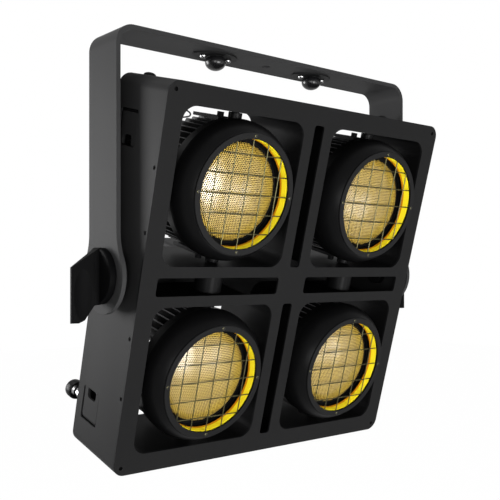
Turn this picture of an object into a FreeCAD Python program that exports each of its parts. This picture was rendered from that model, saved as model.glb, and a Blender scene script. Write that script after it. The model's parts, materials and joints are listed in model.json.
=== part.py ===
import FreeCAD, Part
import math
import os
import Sketcher

# Audience blinder light: four lamp pods in a square housing that hangs in a yoke.
# The row frame has +X to the right seen from the front, +Z up, and the lamps face -Y.
# Its origin is the centre of the clamp hole, at the top face of the yoke bar.
# The housing is modelled in its own frame: its origin is on the tilt axis, y runs back
# from there, and every housing piece is tilted and hung from the yoke at the end.

V = FreeCAD.Vector

# The driving sizes, in millimetres, degrees or counts. Shares have no unit.
SIZES = {
    # yoke
    "yoke_width": 540,
    "yoke_thickness": 6,
    "yoke_bar_width": 68,
    "yoke_drop": 310,
    "yoke_bend_radius": 25,
    "ear_radius": 48,
    "ear_fillet_radius": 60,
    "clamp_hole_radius": 6.5,
    # quarter-turn bracket sockets under the yoke bar
    "bracket_socket_pitch": 185,
    "bracket_hole_radius": 9,
    "flange_length": 75,
    "flange_width": 46,
    "flange_thickness": 2,
    "cup_radius": 12.5,
    "cup_height": 15,
    "cup_dome_height": 9,
    "cup_floor": 3,
    "rivet_radius": 4.5,
    "rivet_height": 2,
    "rivet_pitch": 50,
    # tilt bearing between the ears and the housing
    "stud_radius": 6,
    "running_clearance": 0.05,
    "face_clearance": 0.3,
    "friction_washer_radius": 40,
    "friction_washer_thickness": 5,
    "hub_radius": 30,
    "hub_boss_radius": 14,
    "hub_boss_length": 14,
    # tilt clamp knobs
    "knob_base_radius": 35.2,
    "knob_base_thickness": 9,
    "knob_rim_chamfer": 2,
    "paddle_reach": 34,
    "paddle_shoulder": 9.2,
    "paddle_drop": 58.5,
    "paddle_tip": 11,
    "paddle_thickness": 14,
    "paddle_scoop_radius": 30,
    "paddle_web": 5.5,
    # housing
    "housing_width": 500,
    "housing_height": 502,
    "housing_depth": 113,
    "housing_corner_radius": 25,
    "pivot_depth": 56,
    "tilt_angle": 15,
    "front_thickness": 3,
    "rear_thickness": 2,
    "shell_wall": 2,
    "front_flange_depth": 12,
    "front_flange_wall": 2,
    "opening_size": 198,
    "opening_corner_radius": 20,
    "pod_pitch": 251,
    "duct_wall": 1.5,
    "wide_slot_length": 200,
    "wide_slot_height": 24,
    "tall_slot_length": 198,
    "tall_slot_width": 17.5,
    "slot_corner_radius": 4,
    # side windows and link pockets
    "window_width": 41,
    "window_height": 42.5,
    "window_corner_radius": 3,
    "window_depth": 77.5,
    "window_from_end": 67.8,
    "pocket_depth": 18,
    "pocket_wall": 2,
    "link_recess": 3,
    "link_thickness": 4,
    "link_side_gap": 2,
    "link_outer_gap": 4,
    "link_inner_gap": 1,
    "link_corner_radius": 3,
    "notch_width": 21,
    "notch_depth": 13,
    "notch_corner_radius": 5,
    "link_hinge_radius": 1.5,
    "link_hinge_inset": 4,
    "catch_pin_radius": 3.5,
    "catch_pin_depth": 12,
    "catch_pin_inset": 6.5,
    # spring pull knobs
    "pull_from_side": 12,
    "pull_from_end": 64,
    "pull_pin_radius": 3,
    "pull_pin_reach": 42,
    "pull_knob_radius": 13,
    "pull_knob_length": 15,
    "pull_sleeve_radius": 6.5,
    "pull_sleeve_length": 21,
    # screws
    "screw_inset": 11,
    "screw_radius": 2.5,
    "screw_recess": 0.8,
    "side_screw_depth": 5.5,
    "side_screw_inner": 67,
    "side_screw_outer": 146,
    # top bumpers
    "bumper_radius": 8,
    "bumper_height": 4,
    "bumper_from_side": 29,
    "bumper_depth": 90,
    # pods, depths counted from the front plate's outer face
    "bezel_front": -20.5,
    "bezel_thickness": 2,
    "bezel_inner_radius": 70.5,
    "bezel_outer_radius": 78.5,
    "bell_front_radius": 79.5,
    "bell_radius": 92,
    "bell_widest_depth": 12,
    "bell_rear_radius": 90,
    "bell_rear_depth": 30,
    "bell_wall": 3,
    "bell_lip": 2.5,
    "bell_lip_radius": 72.5,
    "shelf_depth": 2,
    "shelf_thickness": 3,
    "shelf_inner_radius": 68.5,
    "wire_radius": 0.75,
    "amber_ring_inner_radius": 70,
    "amber_ring_depth": 12,
    "lens_rise": 14,
    "lens_thickness": 2,
    "lens_rim_thickness": 1.5,
    "lens_rim_width": 4,
    "seat_clearance": 0.2,
    "fin_radius": 86,
    "fin_root_radius": 34,
    "fin_thickness": 2,
    "fin_count": 52,
    "fin_rear_depth": 100,
    "fin_chamfer": 10,
    "sink_flange": 4,
    "sink_spigot": 3,
    "sink_boss_radius": 40,
    "led_pad_radius": 20,
    "led_pad_height": 4,
    # pan pivots
    "pan_depth": 28,
    "pan_pin_radius": 5,
    "pan_pin_length": 12,
    "pan_head_radius": 10,
    "pan_head_height": 3,
    "pan_boss_radius": 9,
    "pan_boss_gap": 0.6,
    "pan_tube_radius": 18.5,
    "pan_tube_wall": 2,
    "pan_tube_drop": 37.5,
    "pan_plate_width": 44,
    "pan_plate_length": 56,
    "pan_plate_thickness": 4.5,
    "lock_screw_radius": 4.5,
    "lock_screw_height": 6,
    "lock_screw_pitch": 28,
    "lock_screw_setback": 7,
    # electronics box
    "box_width": 250,
    "box_height": 53,
    "box_depth": 57,
    "box_wall": 1.5,
    "box_edge_radius": 4,
    "supply_width": 120,
    "supply_height": 40,
    "supply_depth": 30,
    "panel_width": 118,
    "panel_height": 45,
    "panel_thickness": 2,
    "panel_corner_radius": 4,
    "display_width": 52,
    "display_height": 26,
    "display_offset": 24,
    "display_thickness": 1.5,
    "button_radius": 4.5,
    "button_proud": 2.5,
    "button_clearance": 0.3,
    "button_pitch": 16,
    "button_offset": 32,
    "button_collar": 1.2,
    "socket_pitch": 28,
    "socket_offset": 78,
    "socket_flange_width": 26,
    "socket_flange_height": 31,
    "socket_flange_thickness": 2.5,
    "socket_body_radius": 11,
    "socket_body_length": 22,
    "socket_bore_radius": 9,
    "socket_bore_depth": 16,
    # safety eye
    "eye_radius": 14,
    "eye_rod_radius": 4,
    "eye_from_end": 13.5,
    # lamp leads
    "lead_radius": 1,
    "lead_angle": 40,
    "lead_depth": 80,
    "gland_radius": 4,
    "gland_reach": 1,
    "gland_straight": 6,
    # one overrun serves all cuts
    "overrun": 2,
}

# Shares, chosen by eye: of the bezel's bore, of a paddle's reach and drop, of a grip's
# length and radius, and of a lead's straight runs
WIRE_SHARES = (-0.72, -0.36, 0, 0.36, 0.72)
PADDLE_SLOPE_SHARE = 0.4
PADDLE_HEEL_SHARE = 0.8
PADDLE_SCOOP_SHARE = 0.6
GRIP_FRONT_SHARE = 0.33
GRIP_REAR_SHARE = 0.8
GRIP_WAIST_SHARE = 0.6
LEAD_TRIM_SHARE = 0.45
LEFT_RIGHT = (("left", -1), ("right", 1))
CORNERS = (
    ("upper_left", -1, 1),
    ("upper_right", 1, 1),
    ("lower_left", -1, -1),
    ("lower_right", 1, -1),
)


class Size:
    """A size that carries its value and the spreadsheet formula it comes from."""

    def __init__(self, formula, value):
        self.formula = formula
        self.value = value

    def _join(self, other, sign, value, swap=False):
        other = as_size(other)
        left, right = (other, self) if swap else (self, other)
        return Size("(%s %s %s)" % (left.formula, sign, right.formula), value(left.value, right.value))

    def __add__(self, other):
        return self._join(other, "+", lambda a, b: a + b)

    def __radd__(self, other):
        return self._join(other, "+", lambda a, b: a + b, swap=True)

    def __sub__(self, other):
        return self._join(other, "-", lambda a, b: a - b)

    def __rsub__(self, other):
        return self._join(other, "-", lambda a, b: a - b, swap=True)

    def __mul__(self, other):
        return self._join(other, "*", lambda a, b: a * b)

    def __rmul__(self, other):
        return self._join(other, "*", lambda a, b: a * b, swap=True)

    def __truediv__(self, other):
        return self._join(other, "/", lambda a, b: a / b)

    def __neg__(self):
        return Size("(-1 * %s)" % self.formula, -self.value)


def as_size(number):
    return number if isinstance(number, Size) else Size(repr(number), number)


def root(size):
    return Size("sqrt(%s)" % size.formula, math.sqrt(size.value))


def sine(angle):
    return Size("sin(%s * 1deg)" % angle.formula, math.sin(math.radians(angle.value)))


def cosine(angle):
    return Size("cos(%s * 1deg)" % angle.formula, math.cos(math.radians(angle.value)))


doc = FreeCAD.newDocument("blinder")
sheet = doc.addObject("Spreadsheet::Sheet", "sizes")
for row, (alias, number) in enumerate(SIZES.items(), start=1):
    sheet.set("A%d" % row, alias)
    sheet.set("B%d" % row, str(number))
    sheet.setAlias("B%d" % row, alias)
doc.recompute()


class Sheet:
    """The sheet's aliases as Size values."""


s = Sheet()
for alias, number in SIZES.items():
    setattr(s, alias, Size("sizes." + alias, float(number)))

NODES = {}
ZERO = as_size(0)


# Small helpers: each makes one document object whose sizes follow the sheet

def bind(obj, **sizes):
    """Bind properties to the formulas of sizes; a double underscore stands for a dot."""
    for name, size in sizes.items():
        obj.setExpression(name.replace("__", "."), as_size(size).formula)
    return obj


def move(obj, x=ZERO, y=ZERO, z=ZERO):
    x, y, z = as_size(x), as_size(y), as_size(z)
    obj.Placement.Base = V(x.value, y.value, z.value)
    return bind(obj, Placement__Base__x=x, Placement__Base__y=y, Placement__Base__z=z)


def box(name, width, depth, height, x, y, z):
    """A box with its centre at x, y, z."""
    obj = bind(doc.addObject("Part::Box", name), Length=width, Width=depth, Height=height)
    return move(obj, x - width / 2, y - depth / 2, z - height / 2)


TURNS = {"x": (V(0, 1, 0), 90), "y": (V(1, 0, 0), -90), "z": (V(0, 0, 1), 0)}


def cylinder(name, radius, length, axis, x, y, z):
    """A cylinder that starts at x, y, z and runs along plus axis."""
    obj = bind(doc.addObject("Part::Cylinder", name), Radius=radius, Height=length)
    obj.Placement.Rotation = FreeCAD.Rotation(*TURNS[axis])
    return move(obj, x, y, z)


def group(name, members):
    obj = doc.addObject("Part::Compound", name)
    obj.Links = members
    return obj


def fuse(name, members):
    obj = doc.addObject("Part::MultiFuse", name)
    obj.Shapes = members
    return obj


def cut(name, base, tools):
    obj = doc.addObject("Part::Cut", name)
    obj.Base = base
    obj.Tool = tools[0] if len(tools) == 1 else fuse(name + "_tools", tools)
    return obj


def common(name, first, second):
    obj = doc.addObject("Part::Common", name)
    obj.Base = first
    obj.Tool = second
    return obj


def arc_geometry(start, end, radius, side):
    """The arc under half a turn from start to end, its centre on the left for side 1."""
    chord = end - start
    across = V(-chord.y, chord.x, 0) * (side / chord.Length)
    rise = math.sqrt(max(radius * radius - chord.Length * chord.Length / 4, 0))
    centre = (start + end) * 0.5 + across * rise
    first, last = (start, end) if side > 0 else (end, start)
    angles = [math.atan2(p.y - centre.y, p.x - centre.x) for p in (first, last)]
    if angles[1] < angles[0]:
        angles[1] += 2 * math.pi
    return Part.ArcOfCircle(Part.Circle(centre, V(0, 0, 1), radius), angles[0], angles[1])


def pin_down(sketch, geometry, point, u, v):
    """Hold one point of a sketch at u, v."""
    rules = []
    for kind, size, zero_axis in (("DistanceX", u, -2), ("DistanceY", v, -1)):
        if size.formula == "0":
            rules.append((Sketcher.Constraint("PointOnObject", geometry, point, zero_axis), None))
        else:
            rule = Sketcher.Constraint(kind, -1, 1, geometry, point, size.value)
            rules.append((rule, size))
    return rules


def draw(sketch, loops):
    """Draw closed loops. A loop is a circle (u, v, radius) in a tuple, or a list of corners:
    (u, v) starts a line and (u, v, radius, side) starts an arc to the next corner."""
    geometry, rules = [], []
    for loop in loops:
        if isinstance(loop, tuple):
            u, v, radius = (as_size(item) for item in loop)
            index = len(geometry)
            geometry.append(Part.Circle(V(u.value, v.value, 0), V(0, 0, 1), radius.value))
            rules += pin_down(sketch, index, 3, u, v)
            rules.append((Sketcher.Constraint("Radius", index, radius.value), radius))
            continue
        first = len(geometry)
        corners = [tuple(as_size(item) for item in corner[:3]) + tuple(corner[3:]) for corner in loop]
        ends = []
        for here, there in zip(corners, corners[1:] + corners[:1]):
            a = V(here[0].value, here[1].value, 0)
            b = V(there[0].value, there[1].value, 0)
            index = len(geometry)
            if len(here) == 2:
                geometry.append(Part.LineSegment(a, b))
                ends.append((1, 2))
            else:
                geometry.append(arc_geometry(a, b, here[2].value, here[3]))
                ends.append((1, 2) if here[3] > 0 else (2, 1))
                rules.append((Sketcher.Constraint("Radius", index, here[2].value), here[2]))
        for number, corner in enumerate(corners):
            index = first + number
            following = first + (number + 1) % len(corners)
            rules += pin_down(sketch, index, ends[number][0], corner[0], corner[1])
            joint = ends[(number + 1) % len(corners)][0]
            rules.append((Sketcher.Constraint("Coincident", index, ends[number][1], following, joint), None))
    sketch.addGeometry(geometry, False)
    sketch.addConstraint([rule for rule, size in rules])
    for number, (rule, size) in enumerate(rules):
        if size is not None:
            sketch.setExpression("Constraints[%d]" % number, size.formula)
    return sketch


PLANES = {
    "XY": (FreeCAD.Rotation(), V(0, 0, 1)),
    "XZ": (FreeCAD.Rotation(V(1, 0, 0), 90), V(0, 1, 0)),
    "YZ": (FreeCAD.Rotation(V(1, 1, 1), 120), V(1, 0, 0)),
}


def sketch_on(name, plane, loops, x=ZERO, y=ZERO, z=ZERO):
    sketch = doc.addObject("Sketcher::SketchObject", name)
    sketch.Placement.Rotation = PLANES[plane][0]
    move(sketch, x, y, z)
    return draw(sketch, loops)


def extrude(name, plane, loops, length, x=ZERO, y=ZERO, z=ZERO):
    """Loops drawn on a plane through x, y, z and carried along the plane's plus axis."""
    obj = doc.addObject("Part::Extrusion", name)
    obj.Base = sketch_on(name + "_sketch", plane, loops, x, y, z)
    obj.DirMode = "Custom"
    obj.Dir = PLANES[plane][1]
    obj.Solid = True
    return bind(obj, LengthFwd=length)


def revolve(name, loops):
    """Loops of (radius, depth) turned about the Y axis."""
    obj = doc.addObject("Part::Revolution", name)
    obj.Source = sketch_on(name + "_sketch", "XY", loops)
    obj.Axis = V(0, 1, 0)
    obj.Base = V(0, 0, 0)
    obj.Angle = 360
    obj.Solid = True
    return obj


def rounded(u, v, width, height, radius):
    """A rectangle with round corners, centred on u, v."""
    left, right, low, high = u - width / 2, u + width / 2, v - height / 2, v + height / 2
    return [
        (left + radius, low), (right - radius, low, radius, 1),
        (right, low + radius), (right, high - radius, radius, 1),
        (right - radius, high), (left + radius, high, radius, 1),
        (left, high - radius), (left, low + radius, radius, 1),
    ]


def rectangle(u, v, width, height):
    left, right, low, high = u - width / 2, u + width / 2, v - height / 2, v + height / 2
    return [(left, low), (right, low), (right, high), (left, high)]


def body_sketch(body, name, role, loops):
    sketch = body.newObject("Sketcher::SketchObject", name)
    plane = [item for item in body.Origin.OriginFeatures if item.Role == role][0]
    sketch.AttachmentSupport = [(plane, "")]
    sketch.MapMode = "FlatFace"
    return draw(sketch, loops)


# Finished sub-parts

def node_in_row(name, members):
    """A finished piece of the yoke, in the row frame already."""
    alone = len(members) == 1 and members[0].Placement.isIdentity()
    obj = members[0] if alone else group(name + "_piece", members)
    obj.Label = name
    NODES[name] = obj
    return obj


def node_on_housing(name, members, x=ZERO, z=ZERO):
    """A finished piece from the housing's frame, moved by x, z there, tilted and hung."""
    obj = group(name + "_piece", members)
    obj.Label = name
    obj.Placement.Rotation = FreeCAD.Rotation(V(1, 0, 0), s.tilt_angle.value)
    bind(obj, Placement__Rotation__Angle=s.tilt_angle)
    z = as_size(z)
    move(obj, x, -z * sine(s.tilt_angle), z * cosine(s.tilt_angle) - s.yoke_drop)
    NODES[name] = obj
    return obj


# Places worked out from the driving sizes, in the housing's frame

half_width = s.housing_width / 2
half_height = s.housing_height / 2
window_offset = half_height - s.window_from_end
pull_height = half_height - s.pull_from_end
front = -s.pivot_depth
shell_front = front + s.front_thickness
rear = front + s.housing_depth
shell_rear = rear - s.rear_thickness
half_pitch = s.pod_pitch / 2
half_opening = s.opening_size / 2
yoke_inner = s.yoke_width / 2 - s.yoke_thickness
box_rear = rear + s.box_depth


def yoke():
    """A flat bar bent to a U, its arms widening into round ears at the tilt axis."""
    half, t, bend, drop = s.yoke_width / 2, s.yoke_thickness, s.yoke_bend_radius, s.yoke_drop
    foot = -drop - s.ear_radius
    outline = [
        (-half, foot), (-half + t, foot), (-half + t, -bend, bend - t, -1),
        (-half + bend, -t), (half - bend, -t, bend - t, -1),
        (half - t, -bend), (half - t, foot), (half, foot), (half, -bend, bend, 1),
        (half - bend, ZERO), (-half + bend, ZERO, bend, 1), (-half, -bend),
    ]
    bar = extrude("yoke_bar", "XZ", [outline], 2 * s.ear_radius, y=-s.ear_radius)
    # The fillet circle touches the straight edge and the ear circle
    ear, fillet, side = s.ear_radius, s.ear_fillet_radius, s.yoke_bar_width / 2
    reach = side + fillet
    height = root((ear + fillet) * (ear + fillet) - reach * reach)
    touch_y, touch_z = reach * ear / (ear + fillet), height * ear / (ear + fillet)
    top = s.overrun
    profile = [
        (ZERO, -drop - ear, ear, 1), (touch_y, touch_z - drop, fillet, -1),
        (side, height - drop), (side, top), (-side, top),
        (-side, height - drop, fillet, -1), (-touch_y, touch_z - drop, ear, 1),
    ]
    arms = extrude("yoke_arms", "YZ", [profile], s.yoke_width + 2 * s.overrun, x=-half - s.overrun)
    blank = common("yoke_blank", bar, arms)
    cutters = [cylinder("clamp_hole", s.clamp_hole_radius, t + 2 * s.overrun, "z",
                        ZERO, ZERO, -t - s.overrun)]
    for side_name, sign in LEFT_RIGHT:
        place = sign * s.bracket_socket_pitch / 2
        cutters.append(cylinder("bracket_hole_" + side_name, s.bracket_hole_radius, t + 2 * s.overrun,
                                "z", place, ZERO, -t - s.overrun))
    cutters.append(cylinder("ear_holes", s.stud_radius + s.running_clearance,
                            s.yoke_width + 2 * s.overrun, "x", -half - s.overrun, ZERO, -drop))
    node_in_row("yoke", [cut("yoke_cut", blank, cutters)])


def bracket_sockets():
    """Pointed oval flanges, rivets and domed cups that take quarter-turn bracket studs."""
    under = -s.yoke_thickness
    half_length, half_flange = s.flange_length / 2, s.flange_width / 2
    bow = (half_length * half_length + half_flange * half_flange) / (2 * half_flange)
    members = []
    for name, sign in LEFT_RIGHT:
        x = sign * s.bracket_socket_pitch / 2
        oval = [(x - half_length, ZERO, bow, 1), (x + half_length, ZERO, bow, 1)]
        flange = extrude("flange_" + name, "XY", [oval], s.flange_thickness, z=under - s.flange_thickness)
        foot = under - s.cup_height
        cup = cylinder("cup_" + name, s.cup_radius, s.cup_height, "z", x, ZERO, foot)
        dome = bind(doc.addObject("Part::Ellipsoid", "cup_dome_" + name), Radius1=s.cup_dome_height,
                    Radius2=s.cup_radius, Radius3=s.cup_radius)
        move(dome, x, ZERO, foot)
        tall = s.flange_thickness + s.rivet_height
        rivets = [cylinder("rivet_%s_%s" % (name, end), s.rivet_radius, tall, "z",
                           x + turn * s.rivet_pitch / 2, ZERO, under - tall)
                  for end, turn in LEFT_RIGHT]
        bore = cylinder("cup_bore_" + name, s.bracket_hole_radius, s.cup_height + s.overrun, "z",
                        x, ZERO, foot + s.cup_floor)
        blank = fuse("socket_blank_" + name, [flange, cup, dome] + rivets)
        members.append(cut("bracket_socket_" + name, blank, [bore]))
    node_in_row("bracket_sockets", members)


def friction_washers():
    members = []
    for name, sign in LEFT_RIGHT:
        start = -yoke_inner if sign < 0 else yoke_inner - s.friction_washer_thickness
        disc = cylinder("washer_disc_" + name, s.friction_washer_radius, s.friction_washer_thickness, "x",
                        start, ZERO, -s.yoke_drop)
        bore = cylinder("washer_bore_" + name, s.stud_radius + s.running_clearance,
                        s.friction_washer_thickness + 2 * s.overrun, "x",
                        start - s.overrun, ZERO, -s.yoke_drop)
        members.append(cut("friction_washer_" + name, disc, [bore]))
    node_in_row("friction_washers", members)


def knob(name, sign):
    """A clamp knob: round base, tall paddle scooped on both faces, and the stud."""
    base_start = s.yoke_width / 2 + s.face_clearance
    face = base_start + s.knob_base_thickness
    tip = face + s.paddle_reach
    radius, chamfer = s.knob_base_radius, s.knob_rim_chamfer
    stud_end = half_width - s.hub_boss_length + s.face_clearance
    turned = [
        (ZERO, stud_end), (s.stud_radius, stud_end), (s.stud_radius, base_start), (radius, base_start),
        (radius, face - chamfer), (radius - chamfer, face), (ZERO, face),
    ]
    base = revolve("knob_base_" + name, [turned])
    base.Placement = FreeCAD.Placement(V(0, 0, 0), FreeCAD.Rotation(V(0, 0, 1), -90 * sign))
    inner, outer = sign * (face - chamfer), sign * tip
    slope = sign * (face + s.paddle_reach * PADDLE_SLOPE_SHARE)
    end = sign * (tip - s.paddle_tip)
    low = -s.paddle_drop
    blade_outline = [
        (inner, radius - chamfer), (inner, chamfer - radius), (slope, low * PADDLE_HEEL_SHARE),
        (end, low), (outer, low), (outer, s.paddle_shoulder),
    ]
    if sign > 0:
        blade_outline.reverse()
    blade = extrude("paddle_" + name, "XZ", [blade_outline], s.paddle_thickness, y=-s.paddle_thickness / 2)
    middle = sign * (face + s.paddle_reach * PADDLE_SCOOP_SHARE)
    scoops = []
    for end_name, turn in (("front", -1), ("back", 1)):
        scoops.append(cylinder("scoop_%s_%s" % (name, end_name), s.paddle_scoop_radius,
                               s.paddle_drop + radius + 2 * s.overrun, "z", middle,
                               turn * (s.paddle_scoop_radius + s.paddle_web / 2), low - s.overrun))
    paddle = cut("paddle_cut_" + name, blade, scoops)
    whole = fuse("knob_whole_" + name, [base, paddle])
    hung = group("knob_hung_" + name, [whole])
    move(hung, ZERO, ZERO, -s.yoke_drop)
    hung.Label = "knob_" + name
    NODES["knob_" + name] = hung


def tilt_hubs():
    """Bearing hubs on the housing sides: a flange outside and a threaded boss inside."""
    members = []
    reach = yoke_inner - s.friction_washer_thickness - s.face_clearance - half_width
    for name, sign in LEFT_RIGHT:
        start = -half_width - reach if sign < 0 else half_width
        flange = cylinder("hub_flange_" + name, s.hub_radius, reach, "x", start, ZERO, ZERO)
        boss_start = -half_width if sign < 0 else half_width - s.hub_boss_length
        boss = cylinder("hub_boss_" + name, s.hub_boss_radius, s.hub_boss_length, "x", boss_start, ZERO, ZERO)
        whole = s.hub_boss_length + reach + 2 * s.overrun
        bore_start = (start if sign < 0 else boss_start) - s.overrun
        bore = cylinder("hub_bore_" + name, s.stud_radius + s.running_clearance, whole, "x",
                        bore_start, ZERO, ZERO)
        members.append(cut("tilt_hub_" + name, fuse("hub_blank_" + name, [flange, boss]), [bore]))
    node_on_housing("tilt_hubs", members)


def cell_loops(width, radius):
    return [rounded(right * half_pitch, up * half_pitch, width, width, radius) for name, right, up in CORNERS]


def housing_shell():
    """The sheet-metal ring round the housing, with its side windows and screw holes."""
    wall = s.shell_wall
    outer = rounded(ZERO, ZERO, s.housing_width, s.housing_height, s.housing_corner_radius)
    inner = rounded(ZERO, ZERO, s.housing_width - 2 * wall, s.housing_height - 2 * wall,
                    s.housing_corner_radius - wall)
    ring = extrude("shell_ring", "XZ", [outer, inner], shell_rear - shell_front, y=shell_front)
    windows = [rounded(front + s.window_depth, up * window_offset, s.window_width, s.window_height,
                       s.window_corner_radius) for up in (-1, 1)]
    holes = [(front + s.side_screw_depth, up * place, s.screw_radius + s.seat_clearance)
             for up in (-1, 1) for place in (s.side_screw_inner, s.side_screw_outer)]
    across = s.housing_width + 2 * s.overrun
    side_cut = extrude("shell_windows", "YZ", windows + holes, across, x=-across / 2)
    axle = cylinder("shell_axle_holes", s.hub_boss_radius + s.seat_clearance, across, "x",
                    -across / 2, ZERO, ZERO)
    node_on_housing("housing_shell", [cut("shell_cut", ring, [side_cut, axle])])


def front_plate():
    """The front plate with cell openings, slots, a return flange and corner screw holes."""
    outer = rounded(ZERO, ZERO, s.housing_width, s.housing_height, s.housing_corner_radius)
    loops = [outer] + cell_loops(s.opening_size, s.opening_corner_radius)
    for sign in (-1, 1):
        loops.append(rounded(sign * half_pitch, ZERO, s.wide_slot_length, s.wide_slot_height,
                             s.slot_corner_radius))
        loops.append(rounded(ZERO, sign * half_pitch, s.tall_slot_width, s.tall_slot_length,
                             s.slot_corner_radius))
    inset_x, inset_z = half_width - s.screw_inset, half_height - s.screw_inset
    loops += [(right * inset_x, up * inset_z, s.screw_radius + s.seat_clearance)
              for name, right, up in CORNERS]
    plate = extrude("front_sheet", "XZ", loops, s.front_thickness, y=front)
    gap = s.shell_wall + s.face_clearance
    outside = rounded(ZERO, ZERO, s.housing_width - 2 * gap, s.housing_height - 2 * gap,
                      s.housing_corner_radius - gap)
    gap = gap + s.front_flange_wall
    inside = rounded(ZERO, ZERO, s.housing_width - 2 * gap, s.housing_height - 2 * gap,
                     s.housing_corner_radius - gap)
    flange = extrude("front_flange", "XZ", [outside, inside], s.front_flange_depth, y=shell_front)
    node_on_housing("front_plate", [fuse("front_whole", [plate, flange])])


def rear_plate():
    outer = rounded(ZERO, ZERO, s.housing_width, s.housing_height, s.housing_corner_radius)
    holes = [(right * (half_width - s.pull_from_side), up * pull_height,
              s.pull_pin_radius + s.running_clearance) for name, right, up in CORNERS]
    loops = [outer] + cell_loops(s.opening_size, s.opening_corner_radius) + holes
    node_on_housing("rear_plate", [extrude("rear_sheet", "XZ", loops, s.rear_thickness, y=shell_rear)])


def cell_ducts():
    """Four open ducts between the front and rear plates, drilled for the pan pivots."""
    wall = s.duct_wall
    outer = cell_loops(s.opening_size + 2 * wall, s.opening_corner_radius + wall)
    inner = cell_loops(s.opening_size, s.opening_corner_radius)
    tubes = extrude("duct_tubes", "XZ", outer + inner, shell_rear - shell_front, y=shell_front)
    drills = [cylinder("duct_drill_" + name, s.pan_pin_radius + s.seat_clearance,
                       s.housing_height + 2 * s.overrun, "z", sign * half_pitch, front + s.pan_depth,
                       -half_height - s.overrun) for name, sign in LEFT_RIGHT]
    node_on_housing("cell_ducts", [cut("duct_cut", tubes, drills)])


def pan_posts():
    """Pivot pins above and below each pod, and the wide tubes round the lower pins."""
    y = front + s.pan_depth
    members = []
    for name, right, up in CORNERS:
        x, centre = right * half_pitch, up * half_pitch
        ceiling = centre + half_opening
        floor = centre - half_opening
        top_pin = fuse("top_pin_" + name, [
            cylinder("top_pin_shank_" + name, s.pan_pin_radius, s.pan_pin_length + s.duct_wall, "z",
                     x, y, ceiling - s.pan_pin_length),
            cylinder("top_pin_head_" + name, s.pan_head_radius, s.pan_head_height, "z",
                     x, y, ceiling + s.duct_wall)])
        low_pin = fuse("low_pin_" + name, [
            cylinder("low_pin_shank_" + name, s.pan_pin_radius, s.pan_pin_length + s.duct_wall, "z",
                     x, y, floor - s.duct_wall),
            cylinder("low_pin_head_" + name, s.pan_head_radius, s.pan_head_height, "z",
                     x, y, floor - s.duct_wall - s.pan_head_height)])
        room = (half_height - s.shell_wall - s.front_flange_wall - 2 * s.face_clearance
                - half_pitch - half_opening - s.duct_wall)
        drop = s.pan_tube_drop if up > 0 else room
        start = floor - s.duct_wall - drop
        tube = cut("pan_tube_" + name,
                   cylinder("pan_tube_outer_" + name, s.pan_tube_radius, drop, "z", x, y, start),
                   [cylinder("pan_tube_inner_" + name, s.pan_tube_radius - s.pan_tube_wall,
                             drop + 2 * s.overrun, "z", x, y, start - s.overrun)])
        members += [top_pin, low_pin, tube]
    node_on_housing("pan_posts", members)


def side_x(right, depth, thickness=ZERO):
    """Where a slab begins that lies this deep under the housing's left or right side."""
    return right * (half_width - depth - thickness / 2) - thickness / 2


def link_pockets():
    """Cups behind the side windows, drilled for the spring plungers."""
    middle, wall = front + s.window_depth, s.pocket_wall
    members = []
    for name, right, up in CORNERS:
        z = up * window_offset
        outline = rounded(middle, z, s.window_width + 2 * wall, s.window_height + 2 * wall,
                          s.window_corner_radius + wall)
        hole = rounded(middle, z, s.window_width, s.window_height, s.window_corner_radius)
        ring = extrude("pocket_ring_" + name, "YZ", [outline, hole], s.pocket_depth,
                       x=side_x(right, s.shell_wall, s.pocket_depth))
        floor = extrude("pocket_floor_" + name, "YZ", [outline], wall,
                        x=side_x(right, s.shell_wall + s.pocket_depth, wall))
        drill = cylinder("pocket_drill_" + name, s.pull_pin_radius + s.seat_clearance,
                         wall + 2 * s.overrun, "y", right * (half_width - s.pull_from_side),
                         middle + s.window_width / 2 - s.overrun, up * pull_height)
        members.append(cut("link_pocket_" + name, fuse("pocket_blank_" + name, [ring, floor]), [drill]))
    node_on_housing("link_pockets", members)


def link_outline(up):
    """A plate with a wide notch at its end nearest the middle of the housing."""
    middle = front + s.window_depth
    low, high = middle - s.window_width / 2 + s.link_side_gap, middle + s.window_width / 2 - s.link_side_gap
    near = up * (window_offset - s.window_height / 2 + s.link_inner_gap)
    far = up * (window_offset + s.window_height / 2 - s.link_outer_gap)
    corner, bend, half = s.link_corner_radius, s.notch_corner_radius, s.notch_width / 2
    bottom = near + up * s.notch_depth
    turn = up
    return [
        (low, far - up * corner), (low, near), (middle - half, near),
        (middle - half, bottom - up * bend, bend, -turn), (middle - half + bend, bottom),
        (middle + half - bend, bottom, bend, -turn), (middle + half, bottom - up * bend),
        (middle + half, near), (high, near), (high, far - up * corner, corner, turn),
        (high - corner, far), (low + corner, far, corner, turn),
    ]


def hinge_height(up):
    return up * (window_offset + s.window_height / 2 - s.link_outer_gap - s.link_hinge_inset)


def link_plates():
    """Notched plates that lie recessed in the side windows, each bored for its hinge pin."""
    members = []
    for name, right, up in CORNERS:
        plate = extrude("link_sheet_" + name, "YZ", [link_outline(up)], s.link_thickness,
                        x=side_x(right, s.link_recess, s.link_thickness))
        bore = cylinder("link_bore_" + name, s.link_hinge_radius + s.running_clearance,
                        s.window_width, "y", right * (half_width - s.link_recess - s.link_thickness / 2),
                        front + s.window_depth - s.window_width / 2, hinge_height(up))
        members.append(cut("link_plate_" + name, plate, [bore]))
    node_on_housing("link_plates", members)


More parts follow.
